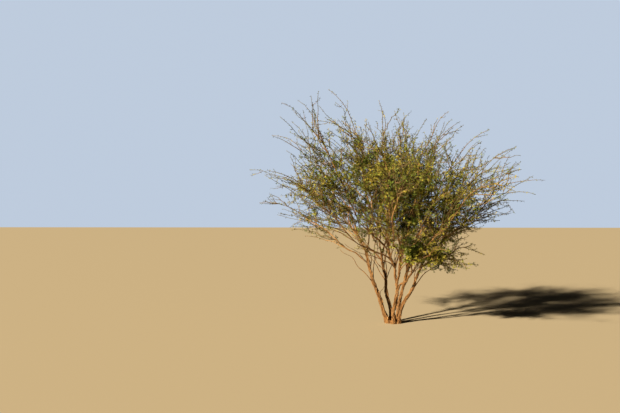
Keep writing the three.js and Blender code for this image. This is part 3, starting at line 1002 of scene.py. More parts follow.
class Hand:
    """The few steps that every modelled piece needs."""

    @staticmethod
    def clear() -> None:
        """Deselect everything, in object mode."""
        if bpy.context.mode != "OBJECT":
            bpy.ops.object.mode_set(mode="OBJECT")
        bpy.ops.object.select_all(action="DESELECT")

    @staticmethod
    def take(piece: bpy.types.Object) -> bpy.types.Object:
        """Select one object alone and make it the active one.

        Args:
            piece: the object.

        Returns:
            The same object.
        """
        Hand.clear()
        piece.select_set(True)
        bpy.context.view_layer.objects.active = piece
        return piece

    @staticmethod
    def edit_all() -> None:
        """Open the active object's mesh for editing, with all of it selected."""
        bpy.ops.object.mode_set(mode="EDIT")
        bpy.ops.mesh.select_all(action="SELECT")

    @staticmethod
    def apply(piece: bpy.types.Object, kind: str, **settings: object) -> None:
        """Add a modifier with its settings and apply it.

        Args:
            piece: the object, which becomes the active one.
            kind: the modifier's type.
            settings: its options.
        """
        Hand.take(piece)
        modifier = piece.modifiers.new(kind.lower(), kind)
        for key, value in settings.items():
            setattr(modifier, key, value)
        bpy.ops.object.modifier_apply(modifier=modifier.name)

    @staticmethod
    def draw_out(line: np.ndarray, radii: Sequence[float], sides: int) -> bpy.types.Object:
        """Draw a closed rod out along a line, ring by ring.

        Args:
            line: the middle of each ring.
            radii: the radius of each ring.
            sides: corners round it.

        Returns:
            The rod, at the origin.
        """
        Hand.clear()
        bpy.ops.mesh.primitive_circle_add(
            vertices=sides, radius=radii[0], fill_type="NGON", location=tuple(line[0]))
        rod = bpy.context.object
        Hand.edit_all()
        for i in range(1, len(line)):
            step = {"value": tuple(line[i] - line[i - 1])}
            bpy.ops.mesh.extrude_region_move(TRANSFORM_OT_translate=step)
            shrink = radii[i] / radii[i - 1]
            bpy.ops.transform.resize(value=(shrink, shrink, 1), center_override=tuple(line[i]))
        bpy.ops.mesh.select_all(action="SELECT")
        bpy.ops.mesh.normals_make_consistent(inside=False)
        bpy.ops.object.mode_set(mode="OBJECT")
        bpy.ops.object.transform_apply(location=True, rotation=True, scale=True)
        return rod

    @staticmethod
    def read(piece: bpy.types.Object, what: str) -> np.ndarray:
        """Read the places or the normals of a mesh's points.

        Args:
            piece: the mesh object.
            what: co for the places, normal for the normals.

        Returns:
            One row a point.
        """
        rows = np.empty(len(piece.data.vertices) * 3, np.float32)
        piece.data.vertices.foreach_get(what, rows)
        return rows.reshape(-1, 3)

    @staticmethod
    def discard(piece: bpy.types.Object) -> None:
        """Remove a helper object."""
        bpy.data.objects.remove(piece)


@dataclass
class BarkRelief:
    """The knots and ridges of bark, drawn out along the limb and pressed on it one after the other."""

    knot_size: float = 0.05
    knot_stretch: float = 1.7
    knot_height: float = 0.42
    ridge_size: float = 0.027
    ridge_stretch: float = 5.5
    ridge_height: float = 0.32
    knot_level: float = 0.5
    ridge_level: float = 0.25
    wander: float = 0.9
    usual_radius: float = 0.033
    finest: float = 0.5

    def __post_init__(self) -> None:
        """Make the textures and the guide that draws them out."""
        self.knots = bpy.data.textures.new("bark_knots", "CLOUDS")
        self.knots.noise_scale = self.knot_size
        self.ridges = bpy.data.textures.new("bark_ridges", "DISTORTED_NOISE")
        self.ridges.noise_basis = "VORONOI_F2_F1"
        self.ridges.noise_distortion = "ORIGINAL_PERLIN"
        self.ridges.distortion = self.wander
        self.ridges.noise_scale = self.ridge_size
        Hand.clear()
        bpy.ops.object.empty_add(type="PLAIN_AXES")
        self.guide = bpy.context.object

    def fineness(self, radius: float) -> float:
        """How coarse the bark of a limb is beside a stem's: less where the limb is thin."""
        return min(1.0, max(self.finest, radius / self.usual_radius))

    def press(self, piece: bpy.types.Object, radius: float) -> None:
        """Give a straight pole its relief, and store how far each point lies up its ridge.

        Args:
            piece: the pole, which stands along Z.
            radius: its mean radius, which the relief goes by.
        """
        size = self.fineness(radius)
        self.keep_grain(piece, size)
        self.lay(piece, self.knots, size, self.knot_stretch, self.knot_height * radius, self.knot_level)
        before = Hand.read(piece, "co")
        outwards = Hand.read(piece, "normal")
        self.lay(piece, self.ridges, size, self.ridge_stretch, self.ridge_height * radius, self.ridge_level)
        # How far each point rose; the bark's material paints shade on the points that stay low
        risen = ((Hand.read(piece, "co") - before) * outwards).sum(axis=1) / (self.ridge_height * radius)
        piece.data.attributes.new("ridge", "FLOAT", "POINT").data.foreach_set("value", risen)

    def lay(
        self, piece: bpy.types.Object, texture: bpy.types.Texture, size: float, stretch: float,
        height: float, level: float,
    ) -> None:
        """Displace a piece by one texture, drawn out along Z.

        Args:
            piece: the pole.
            texture: the relief.
            size: how coarse it is.
            stretch: how far it is drawn out.
            height: how high it stands.
            level: the shade that stays where it is.
        """
        self.guide.scale = (size, size, size * stretch)
        bpy.context.view_layer.update()
        Hand.apply(
            piece, "DISPLACE", texture=texture, strength=height, mid_level=level,
            texture_coords="OBJECT", texture_coords_object=self.guide)

    def keep_grain(self, piece: bpy.types.Object, size: float) -> None:
        """Store where each point lies on the straight pole, so that the bark's pattern follows the limb.

        Args:
            piece: the pole.
            size: how coarse its bark is.
        """
        shift = np.array([sum(map(ord, piece.name)) % NAME_SHIFTS, len(piece.name), 0])
        grain = piece.data.attributes.new("grain", "FLOAT_VECTOR", "POINT")
        places = Hand.read(piece, "co") / size + shift
        grain.data.foreach_set("vector", places.astype(np.float32).ravel())

    def clear_away(self) -> None:
        """Remove the guide once all limbs are made."""
        Hand.discard(self.guide)


@dataclass
class BarkedLimb:
    """The barked mesh of one limb: a straight pole that tapers, gets its relief and is then bent."""

    limb: Limb
    sides: int
    ring_spacing: float
    first: float = 0.0
    line_steps: int = 60
    fewest_rings: int = 6
    tip_rings: tuple[tuple[float, float], ...] = ((0.35, 0.86), (0.6, 0.5))
    smooth_levels: int = 2

    def build(self, relief: BarkRelief) -> bpy.types.Object:
        """Model the limb.

        Args:
            relief: the layers of bark to press on it.

        Returns:
            The finished mesh object.
        """
        line = self.line()
        pole = self.pole(line)
        pole.name = f"bark_{self.limb.name}"
        pole.data.name = pole.name
        Hand.apply(pole, "SUBSURF", levels=self.smooth_levels, render_levels=self.smooth_levels)
        relief.press(pole, sum(self.limb.radii) / 2)
        guide = self.guide(line)
        Hand.apply(pole, "CURVE", object=guide, deform_axis="POS_Z")
        Hand.discard(guide)
        Hand.take(pole)
        bpy.ops.object.shade_smooth()
        return pole

    def line(self) -> np.ndarray:
        """The limb's line in fine steps, carried a little past its tip so that the end is round.

        Returns:
            The points of the line.
        """
        points = self.limb.course.points(self.line_steps, self.first)
        beyond = self.limb.radii[1] * self.tip_rings[-1][0]
        return np.vstack([points, points[-1] + unit(points[-1] - points[-2]) * beyond])

    def pole(self, line: np.ndarray) -> bpy.types.Object:
        """A straight pole as long as the line, with a ring at every step of its taper.

        Args:
            line: the limb's line.

        Returns:
            The pole, which stands along Z.
        """
        lengths = np.concatenate([[0.0], np.cumsum(np.linalg.norm(np.diff(line, axis=0), axis=1))])
        full = lengths[-2]
        count = max(self.fewest_rings, round(full / (self.limb.radii[0] * self.ring_spacing)))
        shares = [self.first + (1 - self.first) * i / count for i in range(count + 1)]
        tip = self.limb.radii[1]
        heights = [full * i / count for i in range(count + 1)]
        heights += [full + tip * further for further, _ in self.tip_rings]
        radii = [self.limb.radius_on_course(share) for share in shares]
        radii += [tip * thinner for _, thinner in self.tip_rings]
        middles = np.outer(heights, UP)
        return Hand.draw_out(middles, radii, self.sides)

    def guide(self, line: np.ndarray) -> bpy.types.Object:
        """The curve that bends the pole.

        Args:
            line: the limb's line.

        Returns:
            The curve object.
        """
        curve = bpy.data.curves.new(f"line_{self.limb.name}", "CURVE")
        curve.dimensions = "3D"
        curve.twist_mode = "MINIMUM"
        spline = curve.splines.new("POLY")
        spline.points.add(len(line) - 1)
        spline.points.foreach_set("co", np.hstack([line, np.ones((len(line), 1))]).ravel())
        guide = bpy.data.objects.new(curve.name, curve)
        bpy.context.scene.collection.objects.link(guide)
        return guide


@dataclass
class RootCrown:
    """The flared feet of the stems, grown together and cut flat at the ground."""

    skeleton: Skeleton
    flare: float = 0.034
    buried_flare: float = 0.051
    swell: float = 1.03
    course_steps: int = 20
    steps: int = 5
    sides: int = 14
    sink: float = 0.07
    top_share: float = 0.15
    top_radius: float = 0.88
    grain_size: float = 0.005
    smoothing: float = 0.5
    smoothing_rounds: int = 6
    relief_radius: float = 0.034
    cut_tolerance: float = 1e-7

    def build(self, relief: BarkRelief) -> bpy.types.Object:
        """Model the crown.

        Args:
            relief: the layers of bark to press on it.

        Returns:
            The finished mesh object.
        """
        feet = [self.foot(self.skeleton.limbs[plan.name]) for plan in self.skeleton.stems]
        Hand.clear()
        for foot in feet:
            foot.select_set(True)
        bpy.context.view_layer.objects.active = feet[0]
        bpy.ops.object.join()
        crown = bpy.context.object
        crown.name = "bark_root_crown"
        crown.data.name = crown.name
        Hand.apply(crown, "REMESH", mode="VOXEL", voxel_size=self.grain_size)
        Hand.apply(crown, "SMOOTH", factor=self.smoothing, iterations=self.smoothing_rounds)
        relief.press(crown, self.relief_radius)
        self.cut_at_ground(crown)
        Hand.take(crown)
        bpy.ops.object.shade_smooth()
        return crown

    def foot(self, limb: Limb) -> bpy.types.Object:
        """One flared foot, from below the ground up its stem, thinner at its top so that it sinks in.

        Args:
            limb: the stem.

        Returns:
            The foot, as a closed rod.
        """
        points = limb.course.points(self.course_steps)
        direction = unit(points[1] - points[0])
        line = [points[0] - direction * self.sink]
        line += [at(points, self.top_share * i / self.steps)[0] for i in range(self.steps + 1)]
        radius = limb.radii[0]
        radii = [radius + self.buried_flare]
        for i in range(self.steps + 1):
            fade = max(0.0, 1 - i / (self.steps - 1))
            radii.append(radius * (self.swell if i < self.steps else self.top_radius) + self.flare * fade**2)
        return Hand.draw_out(np.array(line), radii, self.sides)

    def cut_at_ground(self, crown: bpy.types.Object) -> None:
        """Cut away what lies below the ground, and close the cut.

        Args:
            crown: the root crown.
        """
        Hand.take(crown)
        Hand.edit_all()
        bpy.ops.mesh.bisect(
            plane_co=(0, 0, 0), plane_no=(0, 0, 1), use_fill=True, clear_inner=True,
            threshold=self.cut_tolerance)
        bpy.ops.object.mode_set(mode="OBJECT")


@dataclass
class Twigs:
    """Twigs of one order, all with the same number of steps; those that stopped early have grown less."""

    points: np.ndarray
    grown: np.ndarray
    radii: tuple[float, float]
    tone: np.ndarray
    leafy: np.ndarray

    def kept(self, fewest: int) -> Twigs:
        """Those twigs that have grown at least so many steps."""
        keep = self.grown >= fewest
        return Twigs(self.points[keep], self.grown[keep], self.radii, self.tone[keep], self.leafy[keep])

    def lengths(self) -> np.ndarray:
        """How long each twig is.

        Returns:
            One length a twig.
        """
        steps = np.linalg.norm(np.diff(self.points, axis=1), axis=2)
        live = np.arange(steps.shape[1])[None, :] < self.grown[:, None]
        return (steps * live).sum(axis=1)

    def places(self, which: np.ndarray, share: np.ndarray) -> tuple[np.ndarray, np.ndarray]:
        """Points on some of the twigs.

        Args:
            which: the twig of each point.
            share: how far along it, as a share of what has grown.

        Returns:
            The points and the twigs' directions there.
        """
        place = share * self.grown[which]
        index = np.minimum(place.astype(int), self.grown[which] - 1)
        rest = (place - index)[:, None]
        near, far = self.points[which, index], self.points[which, index + 1]
        return near + (far - near) * rest, unit(far - near)


@dataclass(frozen=True)
class Bend:
    """How twigs zigzag, sway, lift, lean along their mass and arch over, step by step."""

    steps: int
    zigzag: float = 0.15
    sway: float = 0.2
    rise: float = 0.03
    along_axis: float = 0.05
    arch: float = 0.06
    outwards: float = 1.0

    def lead(
        self, mass: Mass, start: np.ndarray, heading: np.ndarray, length: np.ndarray,
        limit: float, margin: float, dice: np.random.Generator | Draw,
    ) -> tuple[np.ndarray, np.ndarray]:
        """Lead some twigs on, each until it would leave the space of its mass.

        Args:
            mass: the mass that they belong to.
            start: where each one starts.
            heading: which way each one sets out.
            length: how long each one may grow.
            limit: the furthest from the focus, as a share of the reach.
            margin: how far inside the borders of the cone, or outside if below zero.
            dice: where the random numbers come from.

        Returns:
            The points of each twig, and how many steps each has grown.
        """
        count = len(start)
        points = np.repeat(start[:, None, :], self.steps + 1, axis=1)
        grown = np.zeros(count, int)
        live = np.ones(count, bool)
        first, second = side_axes(heading)
        roll = dice.random((count, 1)) * FULL_TURN
        direction = heading
        for i in range(self.steps):
            kink = self.zigzag * (1 if i % 2 else -1)
            sway = (dice.random((count, 2)) - 0.5) * self.sway
            direction = direction + first * (kink * np.cos(roll) + sway[:, :1])
            direction = direction + second * (kink * np.sin(roll) + sway[:, 1:])
            arch = self.arch * i / self.steps
            pull = UP * (self.rise - arch) + mass.axis * self.along_axis
            pull = pull + mass.outward * self.outwards * arch
            direction = unit(direction + pull)
            ahead = points[:, i] + direction * (length / self.steps)[:, None]
            live &= mass.holds(ahead, limit, margin)
            points[:, i + 1] = np.where(live[:, None], ahead, points[:, i])
            grown += live
        return points, grown


@dataclass(frozen=True)
class TwigOrder:
    """How the twigs of one order leave those of the order before."""

    per_parent: int
    bend: Bend
    radii: tuple[float, float]
    first: float
    span: float
    off: tuple[float, float]
    base_length: float
    sparsest: float
    parent_share: float = 0.0
    vigour: tuple[float, float] = (0.6, 0.8)
    limit: float = 0.97
    margin: float = -0.33
    fewest: int = 2
    tone_spread: float = 0.14
    leafy_spread: float = 0.9

    ROLL_BY_PARENT = 1.7
    ROLL_SPREAD = 1.5
    SHORTEST = 0.5

    def grow(self, parents: Twigs, mass: Mass, dice: np.random.Generator) -> Twigs:
        """Grow this order of twigs.

        Args:
            parents: the twigs that carry them.
            mass: the mass whose space they keep to.
            dice: where their random numbers come from.

        Returns:
            The twigs that found room.
        """
        count = len(parents.grown) * self.per_parent
        which = np.repeat(np.arange(len(parents.grown)), self.per_parent)
        turn = np.tile(np.arange(self.per_parent), len(parents.grown))
        share = self.first + self.span * (turn + dice.random(count)) / self.per_parent
        start, direction = parents.places(which, share)
        low, high = np.radians(self.off)
        off = low + (high - low) * dice.random(count)
        roll = turn * GOLDEN_ANGLE + which * self.ROLL_BY_PARENT + dice.random(count) * self.ROLL_SPREAD
        heading = turned(direction, off, roll)
        vigour = spread_from(self.vigour, dice.random(count))
        fullness = self.sparsest + (1 - self.sparsest) * mass.fullness(start)
        length = (self.base_length + self.parent_share * (1 - share) * parents.lengths()[which]) * vigour
        length = length * (self.SHORTEST + (1 - self.SHORTEST) * fullness)
        leafy = strayed(parents.leafy[which], self.leafy_spread, dice.random(count))
        tone = strayed(parents.tone[which], self.tone_spread, dice.random(count))
        points, grown = self.bend.lead(mass, start, heading, length, self.limit, self.margin, dice)
        grown[dice.random(count) > fullness] = 0
        return Twigs(points, grown, self.radii, tone, leafy).kept(self.fewest)


@dataclass(frozen=True)
class ShootRule:
    """The first shoots of a mass, which its solid has too, and the leader that bears them."""

    count: int = 25
    usual_reach: float = 2.7
    bend: Bend = Bend(8, zigzag=0.28, sway=0.5, rise=0.04, along_axis=0.1, arch=0.2, outwards=0.7)
    fewest: int = 3
    leader_steps: int = 12
    leader_radii: tuple[float, float] = (0.0098, 0.0022)
    leader_waver: float = 0.06
    droop: tuple[float, float] = (30, 14)
    radii: tuple[float, float] = (0.0068, 0.0024)
    first: float = 0.04
    span: float = 0.84
    off: tuple[float, float] = (18, 24)
    wider_off: tuple[float, float] = (28, 30)
    towards_foot: float = 1.6
    roll_spread: float = 0.6
    length_at_tip: float = 0.24
    length_at_foot: float = 0.66
    vigour: tuple[float, float] = (0.7, 0.5)
    reach: tuple[float, float] = (0.7, 0.18)
    long_chance: float = 0.22
    longer: float = 1.15
    long_reach: float = 0.97
    shared: int = 7
    margin: tuple[float, float] = (-0.05, -0.25)
    tone_spread: float = 0.9

    def leader(self, mass: Mass) -> Twigs:
        """The leader of a mass, from its bough's tip to the furthest reach.

        Args:
            mass: the mass.

        Returns:
            The leader, alone.
        """
        draw = Draw.of(Stream.LEADER, mass.number)
        tip = FOCUS + mass.axis * mass.reach
        droop = spread_from(self.droop, draw())
        arrive = polar(mass.azimuth, mass.elevation - droop)
        end, direction = at(mass.bough.path, 1.0)
        course = Course(end, direction, tip, arrive, self.leader_waver, kinks(draw))
        points = course.points(self.leader_steps)[None]
        tone, leafy = np.array([mass.tone]), np.zeros(1)
        return Twigs(points, np.array([self.leader_steps]), self.leader_radii, tone, leafy)

    def shoots(self, mass: Mass, leader: Twigs) -> Twigs:
        """The shoots set round the leader by the golden angle.

        Args:
            mass: the mass.
            leader: its leader.

        Returns:
            The shoots that found room.
        """
        first_roll = Draw.of(Stream.LEADER, mass.number, 1)() * FULL_TURN
        full = mass.reach * (1 - mass.BARE_SHARE)
        paths, grown = [], []
        for i in range(round(self.count * min(1.0, mass.reach / self.usual_reach))):
            draw = Draw.of(Stream.SHOOT, mass.number, i)
            shared = i < self.shared
            place = ((0.5 + i * GOLDEN_SHARE) % 1) ** (1 if shared else self.towards_foot)
            share = self.first + self.span * place
            off = math.radians(spread_from(self.off if shared else self.wider_off, draw()))
            roll = first_roll + i * GOLDEN_ANGLE + self.roll_spread * (draw() - 0.5)
            vigour = spread_from(self.vigour, draw())
            long = draw() < self.long_chance
            limit = self.long_reach if long else spread_from(self.reach, draw())
            length = (self.length_at_foot * (1 - share) + self.length_at_tip) * (self.longer if long else 1)
            point, direction = at(leader.points[0], share)
            heading = turned(direction, off, roll)
            margin = self.margin[0] if shared else self.margin[1]
            length = np.array([full * length * vigour])
            path, steps = self.bend.lead(mass, point[None], heading[None], length, limit, margin, draw)
            paths.append(path[0])
            grown.append(steps[0])
        dice = np.random.default_rng([SEED, mass.number, Stream.SHOOT.value])
        tone = strayed(mass.tone, self.tone_spread, dice.random(len(paths)))
        leafy = dice.random(len(paths))
        return Twigs(np.array(paths), np.array(grown), self.radii, tone, leafy).kept(self.fewest)


@dataclass(frozen=True)
class Patches:
    """Smooth patches through the crown, worked out from a few waves that cross it."""

    size: float
    seed: int
    waves: int = 5
    finest: float = 0.6
    steepness: float = 1.7

    def __call__(self, points: np.ndarray) -> np.ndarray:
        """How deep in a patch some points lie, from 0 to 1 and evenly spread between.

        Args:
            points: an array of points.

        Returns:
            One share a point.
        """
        dice = np.random.default_rng([SEED, self.seed])
        heading = unit(dice.normal(size=(self.waves, 3)))
        length = self.size * (self.finest + dice.random(self.waves))
        phase = dice.random(self.waves) * FULL_TURN
        height = np.sin(points @ heading.T * FULL_TURN / length + phase).sum(axis=-1)
        return 1 / (1 + np.exp(-self.steepness * height / math.sqrt(self.waves / 2)))


@dataclass(frozen=True)
class LeafShape:
    """A feathered leaf, one unit long: a thin stalk with pairs of slim pointed blades along it."""

    reaches: tuple[float, ...] = (0.3, 0.42, 0.44, 0.38, 0.26)
    first: float = 0.16
    spacing: float = 0.16
    foot_width: float = 0.14
    sweep: float = 0.42
    stalk_width: float = 0.022
    stalk_middle: float = 0.5
    lift: float = 0.12
    droop: float = 0.16

    def points(self) -> np.ndarray:
        """The leaf's corners, along X with Z as its upper side.

        Returns:
            One row a corner, four of the stalk and four of each pair.
        """
        middle, width = self.stalk_middle, self.stalk_width
        points = [(0, 0, 0), (middle, -width, 0), (1, 0, 0), (middle, width, 0)]
        for number, reach in enumerate(self.reaches):
            foot = self.first + self.spacing * number
            tip = foot + self.foot_width / 2 + reach * self.sweep
            points += [(foot, 0, 0), (foot + self.foot_width, 0, 0), (tip, reach, 0), (tip, -reach, 0)]
        corners = np.array(points, float)
        corners[:, 2] += self.lift * np.abs(corners[:, 1]) - self.droop * corners[:, 0] ** 2
        return corners

    def faces(self) -> np.ndarray:
        """The leaf's faces.

        Returns:
            Four corners a face; a triangle has its last corner twice.
        """
        faces = [(0, 1, 2, 3)]
        for number in range(len(self.reaches)):
            foot, top, left, right = range(4 * number + 4, 4 * number + 8)
            faces += [(foot, top, left, left), (foot, right, top, top)]
        return np.array(faces)


@dataclass
class Foliage:
    """The twigs and leaves of every mass, each kind joined into one piece a mass."""

    skeleton: Skeleton
    shoot_rule: ShootRule = ShootRule()
    limb_order: TwigOrder = TwigOrder(
        per_parent=3, bend=Bend(8, zigzag=0.28, sway=0.5, arch=0.16), radii=(0.0085, 0.0026),
        first=0.2, span=0.78, off=(14, 40), base_length=0.95, sparsest=0.8, vigour=(0.7, 0.6),
        limit=0.86, margin=-0.2, fewest=3, tone_spread=0.8, leafy_spread=2.0)
    side_order: TwigOrder = TwigOrder(
        per_parent=7, bend=Bend(5, zigzag=0.32, sway=0.55), radii=(0.0043, 0.0018),
        first=0.06, span=0.9, off=(34, 66), base_length=0.17, sparsest=0.2, parent_share=0.28,
        vigour=(0.5, 1.0), margin=-0.3)
    bough_order: TwigOrder = TwigOrder(
        per_parent=6, bend=Bend(6, zigzag=0.25, sway=0.4), radii=(0.0045, 0.0019),
        first=0.22, span=0.75, off=(30, 65), base_length=0.42, sparsest=0.35, tone_spread=0.8,
        leafy_spread=2.0)
    inner_order: TwigOrder = TwigOrder(
        per_parent=3, bend=Bend(4), radii=(0.0028, 0.0014), first=0.2, span=0.75, off=(30, 60),
        base_length=0.22, sparsest=0.25)
    fine_order: TwigOrder = TwigOrder(
        per_parent=3, bend=Bend(3), radii=(0.0023, 0.0013), first=0.15, span=0.8, off=(40, 72),
        base_length=0.095, sparsest=0.15, limit=0.98, leafy_spread=0.0)

    # Meshes and materials of the twigs
    twig_sides: int = 3
    shoot_sides: int = 5
    thick_twig: float = 0.005
    wood_from: tuple[float, ...] = (0.008, 0.004)
    young_from: float = 0.45
    thorn_slot: int = 3

    # Thorns
    thorny_below: float = 0.9
    thorn_off: float = 68
    thorn_fork: float = 1.1
    thorn_radius: float = 0.0012
    thorn_length: tuple[float, float] = (0.014, 0.014)

    # Where leaves stand, and how many
    node_spacing: float = 0.042
    bare_foot: float = 0.1
    bare_leader: float = 0.35
    tuft: tuple[float, float] = (1.6, 0.3)
    tuft_least: float = 0.5
    tuft_width: float = 0.012
    leafy_patches: Patches = Patches(0.24, 11)
    clump_spread: float = 0.5
    leafy_share: float = 0.4
    leafy: tuple[float, float] = (2.5, 0.12)

    # What each leaf is like
    leaf_shape: LeafShape = LeafShape()
    leaf_length: tuple[float, float] = (0.027, 0.021)
    leaf_at_tips: float = 0.6
    leaf_off: tuple[float, float] = (30, 80)
    leaf_tilt: float = 0.8
    tone_patches: Patches = Patches(0.4, 3)
    tone_spread: float = 0.8
    tone_shares: tuple[float, ...] = (0.16, 0.17, 0.18, 0.18, 0.19, 0.12)

    def build(self, wood: Sequence[bpy.types.Material], leaves: Sequence[bpy.types.Material]) -> None:
        """Grow and dress every mass.

        Args:
            wood: the twigs' materials, the thickest twigs' first.
            leaves: the leaves' materials, dealt out by spray.
        """
        for mass in self.skeleton.masses:
            orders = self.grow(mass)
            twigs = self.twig_piece(mass, orders, wood)
            sprays = self.leaf_piece(mass, orders, leaves)
            for piece in (twigs, sprays):
                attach(piece, BODY)
                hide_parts(f"foliage_{mass.name}")
                log.info("%s: %d faces", piece.name, len(piece.data.polygons))

    def grow(self, mass: Mass) -> list[Twigs]:
        """All the twigs of a mass, the leader first.

        Args:
            mass: the mass.

        Returns:
            The twigs, order by order.
        """
        dice = np.random.default_rng([SEED, mass.number, Stream.SPRAY.value])
        leader = self.shoot_rule.leader(mass)
        shoots = self.shoot_rule.shoots(mass, leader)
        paths = np.stack([mass.bough.path, mass.side_bough.path])
        steps = np.full(2, paths.shape[1] - 1)
        boughs = Twigs(paths, steps, (0.0, 0.0), np.full(2, mass.tone), np.zeros(2))
        limbs = self.limb_order.grow(boughs, mass, dice)
        inside = self.bough_order.grow(boughs, mass, dice)
        offsets = self.inner_order.grow(inside, mass, dice)
        side = [self.side_order.grow(parents, mass, dice) for parents in (shoots, limbs, leader)]
        orders = [leader, shoots, limbs, inside, offsets, *side]
        for parents in (inside, offsets, *side):
            orders.append(self.fine_order.grow(parents, mass, dice))
        return orders

    def twig_piece(
        self, mass: Mass, orders: Sequence[Twigs], wood: Sequence[bpy.types.Material]
    ) -> bpy.types.Object:
        """One mesh of all the twigs of a mass.

        Args:
            mass: the mass.
            orders: its twigs, order by order.
            wood: the materials, the thickest twigs' first and the thorns' last.

        Returns:
            The piece.
        """
        vertices, faces, slots, offset = [], [], [], 0
        for twigs in orders:
            slot = sum(twigs.radii[0] < thickness for thickness in self.wood_from)
            for grown in np.unique(twigs.grown):
                paths = twigs.points[twigs.grown == grown][:, : grown + 1]
                sides = self.shoot_sides if twigs.radii[0] > self.thick_twig else self.twig_sides
                corners, quads = tube(paths, twigs.radii, sides)
                ring = quads.min(axis=1) // sides % (grown + 1)
                young = (ring >= self.young_from * grown).astype(int)
                vertices.append(corners)
                faces.append(quads + offset)
                slots.append(np.minimum(slot + young, self.thorn_slot - 1))
                offset += len(corners)
        corners, quads = self.thorns(mass, orders)
        vertices.append(corners)
        faces.append(quads + offset)
        slots.append(np.full(len(quads), self.thorn_slot))
        name = f"twigs_{mass.name}"
        return joined(name, np.vstack(vertices), np.vstack(faces), np.concatenate(slots), wood)

    def nodes(self, twigs: Twigs, bare: float, dice: np.random.Generator) -> tuple[np.ndarray, np.ndarray]:
        """The nodes of some twigs.

        Args:
            twigs: the twigs.
            bare: the share of each twig, from its foot on, that has none.
            dice: where the random numbers come from.

        Returns:
            The twig of each node, and the share of the way along it.
        """
        counts = np.maximum(1, np.round(twigs.lengths() / self.node_spacing)).astype(int)
        which = np.repeat(np.arange(len(counts)), counts)
        order = np.concatenate([np.arange(n) for n in counts])
        return which, bare + (1 - bare) * (order + dice.random(len(which))) / counts[which]

    def thorns(self, mass: Mass, orders: Sequence[Twigs]) -> tuple[np.ndarray, np.ndarray]:
        """Pairs of thorns at the nodes of the outer twigs, where leaves don't hide them.

        Args:
            mass: the mass.
            orders: its twigs, order by order.

        Returns:
            The thorns' corners and faces.
        """
        dice = np.random.default_rng([SEED, mass.number, Stream.THORN.value])
        feet, headings = [], []
        for twigs in orders:
            if len(twigs.grown) == 0:
                continue
            which, share = self.nodes(twigs, self.bare_foot, dice)
            point, direction = twigs.places(which, share)
            bare = mass.fullness(point) < self.thorny_below * dice.random(len(which))
            point, direction = point[bare], direction[bare]
            roll = dice.random(len(point)) * FULL_TURN
            for turn in (-self.thorn_fork, self.thorn_fork):
                feet.append(point)
                headings.append(turned(direction, math.radians(self.thorn_off), roll + turn))
        feet = np.concatenate(feet)
        length = spread_from(self.thorn_length, dice.random(len(feet)))
        return thorn_spikes(feet, np.concatenate(headings), self.thorn_radius, length)

    def leaf_piece(
        self, mass: Mass, orders: Sequence[Twigs], finishes: Sequence[bpy.types.Material]
    ) -> bpy.types.Object:
        """One mesh of all the leaves of a mass, each spray in one of the finishes.

        Args:
            mass: the mass.
            orders: its twigs, order by order.
            finishes: the leaves' materials.

        Returns:
            The piece.
        """
        dice = np.random.default_rng([SEED, mass.number, Stream.LEAF.value])
        shape, faces = self.leaf_shape.points(), self.leaf_shape.faces()
        points, tones = [], []
        for rank, twigs in enumerate(orders):
            if len(twigs.grown) == 0:
                continue
            bare = self.bare_foot if rank else self.bare_leader
            which, point, direction = self.leaf_places(mass, twigs, bare, dice)
            axes = self.leaf_axes(mass, point, direction, dice)
            points.append(np.einsum("pj,nji->npi", shape, axes) + point[:, None, :])
            tones.append(strayed(self.tone_patches(point), self.tone_spread, twigs.tone[which]))
        points = np.concatenate(points)
        quads = copied(faces, len(points), len(shape))
        slots = np.digitize(np.concatenate(tones), np.cumsum(self.tone_shares)[:-1])
        slots = np.repeat(slots, len(faces))
        return joined(f"leaves_{mass.name}", points.reshape(-1, 3), quads, slots, finishes)

    def leaf_places(
        self, mass: Mass, twigs: Twigs, bare: float, dice: np.random.Generator
    ) -> tuple[np.ndarray, np.ndarray, np.ndarray]:
        """Where the leaves of some twigs stand, in tufts at the nodes.

        Args:
            mass: the mass that they belong to.
            twigs: the twigs that bear them.
            bare: the share of each twig, from its foot on, that bears none.
            dice: where the random numbers come from.

        Returns:
            The twig of each leaf, its foot, and the twig's direction there.
        """
        which, share = self.nodes(twigs, bare, dice)
        point = twigs.places(which, share)[0]
        fullness = mass.fullness(point)
        clump = strayed(self.leafy_patches(point), self.clump_spread, twigs.leafy[which])
        leafy = np.where(clump < self.leafy_share, *self.leafy)
        crowd = spread_from(self.tuft, fullness) * (1 + (leafy - 1) * fullness) * mass.crowd
        leaves = crowd * (self.tuft_least + dice.random(len(which))) + dice.random(len(which))
        leaves = np.floor(leaves).astype(int)
        which, share = np.repeat(which, leaves), np.repeat(share, leaves)
        aside = (dice.random(len(which)) - 0.5) * self.tuft_width / twigs.lengths()[which]
        point, direction = twigs.places(which, np.clip(share + aside, 0.0, 1.0))
        return which, point, direction

    def leaf_axes(
        self, mass: Mass, point: np.ndarray, direction: np.ndarray, dice: np.random.Generator
    ) -> np.ndarray:
        """The axes of some leaves: along each, across it and out of its face, as long as the leaf.

        Args:
            mass: the mass that they belong to.
            point: the foot of each leaf.
            direction: the direction of its twig there.
            dice: where the random numbers come from.

        Returns:
            Three rows for each leaf.
        """
        count = len(point)
        low, high = np.radians(self.leaf_off)
        off = low + (high - low) * dice.random(count)
        heading = turned(direction, off, dice.random(count) * FULL_TURN)
        tilt = unit(dice.normal(size=(count, 3)))
        across = unit(np.cross(UP + tilt * self.leaf_tilt, heading))
        size = spread_from(self.leaf_length, dice.random(count))
        size = size * (self.leaf_at_tips + (1 - self.leaf_at_tips) * mass.fullness(point))
        return np.stack([heading, across, np.cross(heading, across)], axis=1) * size[:, None, None]


def copied(faces: np.ndarray, count: int, corners: int) -> np.ndarray:
    """The faces of many copies of a shape, whose corners follow one another."""
    starts = np.arange(count) * corners
    return (faces[None] + starts[:, None, None]).reshape(-1, 4)


